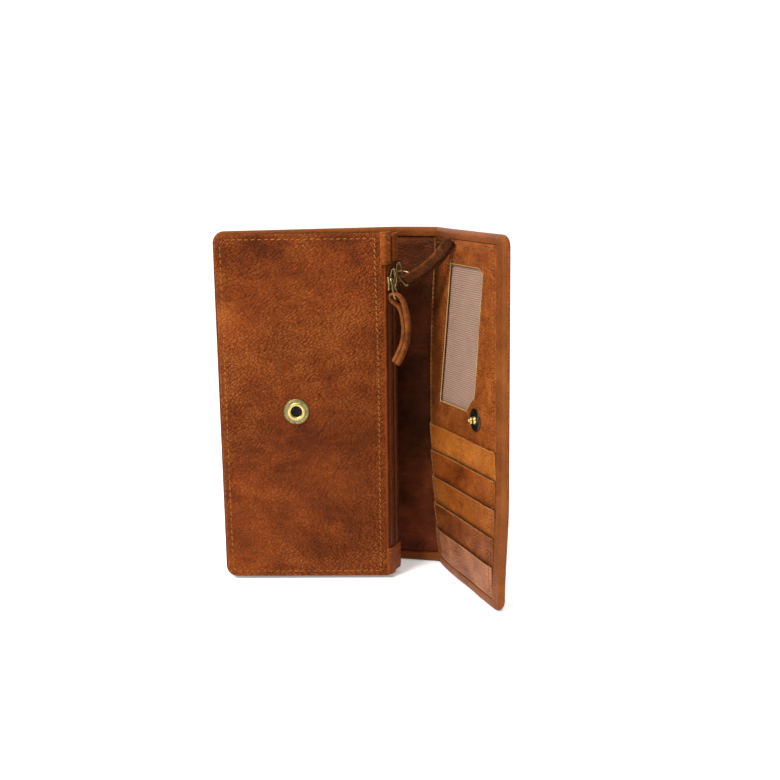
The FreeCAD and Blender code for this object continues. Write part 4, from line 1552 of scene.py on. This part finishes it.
def tab(name, place, foot, top, node):
    """A small leather end stop, folded over the end of the zip."""

    def level(u, z, d):
        return 2.0 + 0.12 * waves(u, z, 12.0, 83) - 0.12 * np.exp(-((d - 1.2) / 0.3) ** 2)

    relief(
        name, place, (-TAB_HALF, TAB_HALF), (foot, top), level, level_at(1.02), TRIM,
        rims="lrft", soften=0.55, step=0.8, body="leaf", slot="tan_trim_leather", replaces=[node],
    )
    at_top = foot > HEIGHT / 2
    near = foot + 2.4 if at_top else top - 2.4
    far = top - 2.0 if at_top else foot + 2.0

    def face(u, z):
        return float(level(u, z, min(TAB_HALF - abs(u), z - foot, top - z)))

    stitches(
        name + "_stitches", place, [(-2.6, near), (2.6, near)], face, "leaf", pitch=1.7, length=1.3,
        radius=0.2, slant=6, seed=int(foot),
    )
    stitches(
        name + "_side_stitches", place, [(2.5, near), (2.5, far)], face, "leaf", pitch=1.9,
        length=1.4, radius=0.2, slant=8, seed=int(foot) + 1,
    )


for one in ZIPS:
    number = one["n"]
    place = one["place"]
    for side, low, high in (("left", -3.0, -1.0), ("right", 1.0, 3.0)):
        relief(
            f"zip_{number}_tape_{side}", place, (low, high), (TAPE_FOOT, TAPE_TOP),
            level_at(0.0), level_at(-0.5), TAPE,
            rims="lrft", soften=0.2, step=2.0, body="leaf", slot="zip_tape",
            replaces=[f"zip_tape_{number}"] if side == "left" else (),
        )
    coil = zip_coil(f"zip_{number}_teeth", place, 17.6, one["tab"] + 0.6, "leaf")
    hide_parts(f"zip_coil_{number}")
    welt(
        f"zip_{number}_welt_front", place, -4.2 if number == 1 else -3.5, -1.25,
        1.35 if number == 1 else 1.0, f"zip_welt_{number}_front", WELT if number == 1 else INNER,
    )
    welt(
        f"zip_{number}_welt_rear", place, 1.6, 3.35, 1.0, f"zip_welt_{number}_rear",
        WELT if number == 1 else INNER,
    )
    if number == 1:
        folded_tab(
            "zip_1_tab_top",
            [(85.6, 2.8), (87.0, 2.8), (88.1, 2.4), (89.1, 1.2), (89.8, 0.0), (90.5, -1.3)], 171.8, 189.2,
            "zip_tab_1_top",
        )
        folded_tab(
            "zip_1_tab_foot", [(87.5, 2.3), (88.5, 2.0), (89.5, 0.9), (90.3, -0.6), (91.4, -2.7)], 2.2,
            17.0, "zip_tab_1_foot",
        )
        continue
    tab(f"zip_{number}_tab_top", place, one["tab"], 188.2, f"zip_tab_{number}_top")
    tab(f"zip_{number}_tab_foot", place, 2.8, 17.5, f"zip_tab_{number}_foot")

# ------------------------------------------------------------------ sliders and pulls


def slider(number, place, z0):
    """A small cast slider: shield-shaped deck, two side rails and a wire bail."""
    body = f"slider_{number}"
    outline = [
        (-1.9, -3.6), (1.9, -3.6), (2.3, -2.6), (2.3, 0.2), (2.75, 2.2), (2.3, 3.3), (0.9, 3.75),
        (-0.9, 3.75), (-2.3, 3.3), (-2.75, 2.2), (-2.3, 0.2), (-2.3, -2.6),
    ]
    fine = spline([(a, b, 0.0) for a, b in outline], per=3, closed=True)
    count = len(fine)
    rings = ((1.0, 1.5), (1.04, 1.75), (1.02, 2.2), (0.93, 2.45), (0.8, 2.52))
    points = []
    for scale, n in rings:
        for a, b, _ in fine:
            points.append(place.world(float(a * scale), n, z0 + float(b * scale)))
    faces = band_faces(len(rings), count)
    faces += [tuple(range(count))[::-1], tuple((len(rings) - 1) * count + k for k in range(count))]
    groups = [(np.array(points), faces)]
    for side in (-1, 1):
        rail = [place.world(side * 1.78, 1.0, z0 + z) for z in (-3.5, -2.8, 0.0, 2.6, 3.3)]
        groups.append(
            sweep_arrays(np.array(rail), 0.33 * MM, 0.75 * MM, place.direction(1, 0), sides=12, square=3.0)
        )
    points, faces = join_arrays(groups)
    make_object(
        f"slider_{number}_body", points, faces, BRASS, body=body, slot="bright_brass",
        replaces=[f"slider_{number}_block"],
    )
    arch = [
        (2.0, -2.7), (3.6, -2.5), (5.0, -1.6), (5.75, 0.6), (5.7, 3.6), (5.1, 6.3), (4.1, 7.6),
        (3.1, 7.0), (2.6, 5.2), (2.2, 3.3),
    ]
    line = spline(np.array([place.world(0.0, n, z0 + z) for n, z in arch]).reshape(-1, 3), per=6)
    node = f"slider_{number}_bail"
    rod(
        node + "_wire", line, 0.75, 0.33, place.direction(1, 0), BRASS, body, "bright_brass", [node],
        sides=14, square=2.6,
    )


for one in ZIPS:
    slider(one["n"], one["place"], one["slider"])


def wire_loop(name, corners, radius, body, node):
    path = spline(np.array(corners), per=6, closed=True)
    normal = np.cross(path[len(path) // 4] - path[0], path[len(path) // 2] - path[0])
    return rod(
        name, path, radius, radius, normal, BRASS, body, "bright_brass", [node], sides=12, closed=True,
    )


STRAP_SIDES = 24


def hairpin(name, loop, half_wide, half_thick, side, body, node, per=8):
    """A folded strap: one band that runs up, round the wire and back down on itself."""
    path = spline(np.array(loop), per=per)
    count = len(path)
    share = np.linspace(0, 1, count)
    ends = np.sqrt(np.clip(1 - (np.clip(np.abs(share - 0.5) * 2 - 0.965, 0, 1) / 0.035) ** 2, 0.15, 1))
    wander = 1 + 0.05 * np.sin(share * 23.0) + 0.03 * np.sin(share * 61.0 + 1.0)
    if side is None:
        # the band's width keeps upright, so that its upper edge stays one edge round the turn
        run = np.gradient(path, axis=0)
        side = np.cross(run, along_2)
        bend = np.abs(share - 0.5) < 0.06
        side[bend] = side[np.argmax(~bend)]
        sign = np.sign((side * UP).sum(1))
        side = side * np.where(sign == 0, 1, sign)[:, None]
    points, faces = sweep_arrays(
        path, half_wide * MM * ends * wander, half_thick * MM * (0.8 + 0.2 * ends), side,
        sides=STRAP_SIDES, square=2.7,
    )
    piece = make_object(
        name, points, faces, STRAPS[0 if body == "pull_1" else 1], body=body, slot="tan_trim_leather",
        replaces=[node],
    )
    if body == "strap_2":
        # painted highlight along the upper edge, where the light falls, and painted shade over the rest of
        # the band
        around = np.cos(2 * math.pi * np.arange(STRAP_SIDES) / STRAP_SIDES)
        strap_look = 1.7 * np.clip(around - 0.35, 0, 1) - 0.15
        paint(piece.data, "tone", np.tile(strap_look, count))
    return piece


place_1 = ZIPS[0]["place"]
place_2 = ZIPS[1]["place"]
pull_1 = Vector(JOINTS["pull_1_swing"]["pos_m"])
ring_2 = Vector(JOINTS["ring_2_swing"]["pos_m"])
strap_2 = Vector(JOINTS["strap_2_swing"]["pos_m"])
along_1 = np.array(place_1.direction(1, 0)) / MM
out_1 = np.array(place_1.direction(0, 1)) / MM
along_2 = np.array(place_2.direction(1, 0)) / MM
out_2 = np.array(place_2.direction(0, 1)) / MM
UP = np.array([0.0, 0.0, 1.0])


def local(origin, basis, across, out, up):
    return np.array(origin) + (basis[0] * across + basis[1] * out + UP * up) * MM


basis_1 = (along_1, out_1)
basis_2 = (along_2, out_2)
link = [
    (-0.9, -0.4, 0.5), (0.9, -0.4, 0.5), (1.3, 0.6, -2.5), (1.7, 1.6, -7.0), (1.1, 2.3, -9.6),
    (-1.1, 2.3, -9.6), (-1.7, 1.6, -7.0), (-1.3, 0.6, -2.5),
]
wire_loop("pull_1_link", [local(pull_1, basis_1, *p) for p in link], 0.55, "pull_1", "pull_ring_1")
trapeze = [
    (-1.0, 0.1, 0.9), (0.0, 0.2, 1.2), (0.8, 2.0, 1.5), (1.1, 5.2, 0.9), (0.9, 6.0, -0.4),
    (0.2, 6.0, -3.0), (-0.6, 6.0, -5.6), (-1.1, 4.9, -5.7), (-1.2, 2.0, -2.8), (-1.2, 0.1, -0.8),
]
wire_loop("pull_2_link", [local(ring_2, basis_2, *p) for p in trapeze], 0.42, "ring_2", "pull_ring_2")

# a strap folded over its link: two legs that part only at the link
middle_1 = spline(
    np.array(
        [
            (7.2, -17.5, 0.0), (8.0, -21.5, 0.0), (8.2, -27.0, 0.0), (7.2, -33.0, 0.0), (4.8, -38.8, 0.0),
            (1.6, -44.3, 0.0),
        ]
    ),
    per=4,
)[:, :2]
heading = np.gradient(middle_1, axis=0)
heading /= np.linalg.norm(heading, axis=1)[:, None]
sideways = np.stack([-heading[:, 1], heading[:, 0]], 1)
right_leg = middle_1 + sideways * 1.22
left_leg = middle_1 - sideways * 1.22
turn_1 = [
    (4.4, -14.4), (1.9, -12.6), (-0.3, -11.2), (-1.4, -9.4), (-0.9, -7.8), (0.9, -7.2), (3.2, -7.7),
    (5.4, -9.4), (7.2, -12.4),
]
lead_1 = np.concatenate([left_leg[::-1], np.array(turn_1), right_leg])
lead_1 = [(0.15 * math.sin(k / 9.0), n, z) for k, (n, z) in enumerate(lead_1)]
leg_thick_1 = np.interp(
    np.linspace(0, 1, (len(lead_1) - 1) * 4 + 1), [0, 0.36, 0.45, 0.55, 0.62, 1],
    [1.28, 1.28, 0.85, 0.85, 1.28, 1.28],
)
strap_piece = hairpin(
    "pull_1_strap_leather", [local(pull_1, basis_1, *p) for p in lead_1], 2.2, leg_thick_1, along_1,
    "pull_1", "pull_strap_1", per=4,
)
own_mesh(strap_piece)
middle_2 = [(0.8, 0.1), (5.0, 2.6), (10.2, 6.1), (16.2, 11.2), (21.2, 16.6), (24.6, 21.4)]
front_leg = [(-1.1, n, z + 0.3) for n, z in middle_2]
rear_leg = [(1.2, n + 0.3, z - 0.9) for n, z in middle_2]
lead_2 = front_leg[::-1] + [(0.1, -1.6, -0.7)] + rear_leg
strap_piece = hairpin(
    "pull_2_strap_leather", [local(strap_2, basis_2, *p) for p in lead_2], 2.7, 1.05, None, "strap_2",
    "pull_strap_2", per=8,
)
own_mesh(strap_piece)

# ------------------------------------------------------------------ outside stitching

# how far the seam lies from the foot of the back
SEAM_IN = 4.0
stitches(
    "back_stitches_foot", COVER, [(5.0, SEAM_IN), (CREASE_1 - 8.0, SEAM_IN)],
    lambda u, z: float(cover_outer(u, z, SEAM_IN)),
    "back", slant=0, seed=91,
)

# ------------------------------------------------------------------ stage


def area_light(name, place, aim, size, power, colour=(1.0, 1.0, 1.0)):
    data = bpy.data.lights.new(name, "AREA")
    data.shape = "RECTANGLE"
    data.size, data.size_y = size
    data.energy = power
    data.color = colour
    lamp = bpy.data.objects.new(name, data)
    lamp.location = place
    direction = Vector(aim) - Vector(place)
    lamp.rotation_euler = direction.to_track_quat("-Z", "Y").to_euler()
    bpy.context.scene.collection.objects.link(lamp)


# one sheet of paper: level, then a quarter round of COVE, then upright to WALL_TOP
FLOOR_HALF = 3.0
COVE = 0.9
WALL_TOP = 3.2
ROWS = 24
profile = []
for i in range(ROWS + 1):
    share = i / ROWS
    if share < 0.5:
        profile.append((-FLOOR_HALF + share * 2 * (FLOOR_HALF + COVE), 0.0))
    else:
        angle = (share - 0.5) * math.pi
        profile.append((COVE + COVE * math.sin(angle), COVE - COVE * math.cos(angle)))
profile.append((2 * COVE, WALL_TOP))
floor_points = [(x, y, z) for y, z in profile for x in (-FLOOR_HALF, FLOOR_HALF)]
floor_faces = [(2 * i, 2 * i + 1, 2 * i + 3, 2 * i + 2) for i in range(ROWS + 1)]
# white paper that glows a little, more so up the wall, where the lamps reach less
paper = Graph("studio_paper")
shade = paper.ramp(
    paper.noise(paper.coords, 3.0, 2.0), [(0.2, [0.93, 0.93, 0.93]), (0.8, [0.95, 0.95, 0.95])],
)
far = paper.add("ShaderNodeSeparateXYZ", {0: paper.coords}).outputs["Y"]
glow = paper.span(far, 0.5, 1.8, 0.3, 0.5)
paper = paper.finish(
    Base_Color=shade, Roughness=0.95, Specular_IOR_Level=0.1, Emission_Color=(1.0, 1.0, 1.0, 1.0),
    Emission_Strength=glow,
)
floor = make_object("studio_floor", np.array(floor_points), floor_faces, paper)

scene = bpy.context.scene
scene.view_settings.view_transform = "Standard"
world = bpy.data.worlds.new("studio")
scene.world = world
world.use_nodes = True
world.node_tree.nodes["Background"].inputs[0].default_value = (1.0, 1.0, 1.0, 1.0)
world.node_tree.nodes["Background"].inputs[1].default_value = 0.24
area_light("key_light", (-0.72, -0.5, 0.98), (0.0, -0.03, 0.1), (0.35, 0.3), 19.0, (1.0, 0.985, 0.96))
area_light("fill_light", (0.95, -0.75, 0.5), (0.02, -0.03, 0.1), (0.8, 0.8), 5.5)
area_light("top_light", (0.1, -0.12, 1.2), (0.0, -0.03, 0.0), (0.6, 0.6), 7.0)

camera_data = bpy.data.cameras.new("camera")
camera_data.sensor_width = 36.0
camera_data.lens = 60.80
camera_data.clip_start = 0.02
camera = bpy.data.objects.new("camera", camera_data)
scene.collection.objects.link(camera)
camera.matrix_world = Matrix(
    [
        [0.95015, 0.06325, -0.30532, -0.17978],
        [-0.31162, 0.15879, -0.93684, -0.69630],
        [-0.01077, 0.98528, 0.17058, 0.22517],
        [0.0, 0.0, 0.0, 1.0],
    ]
)
scene.camera = camera
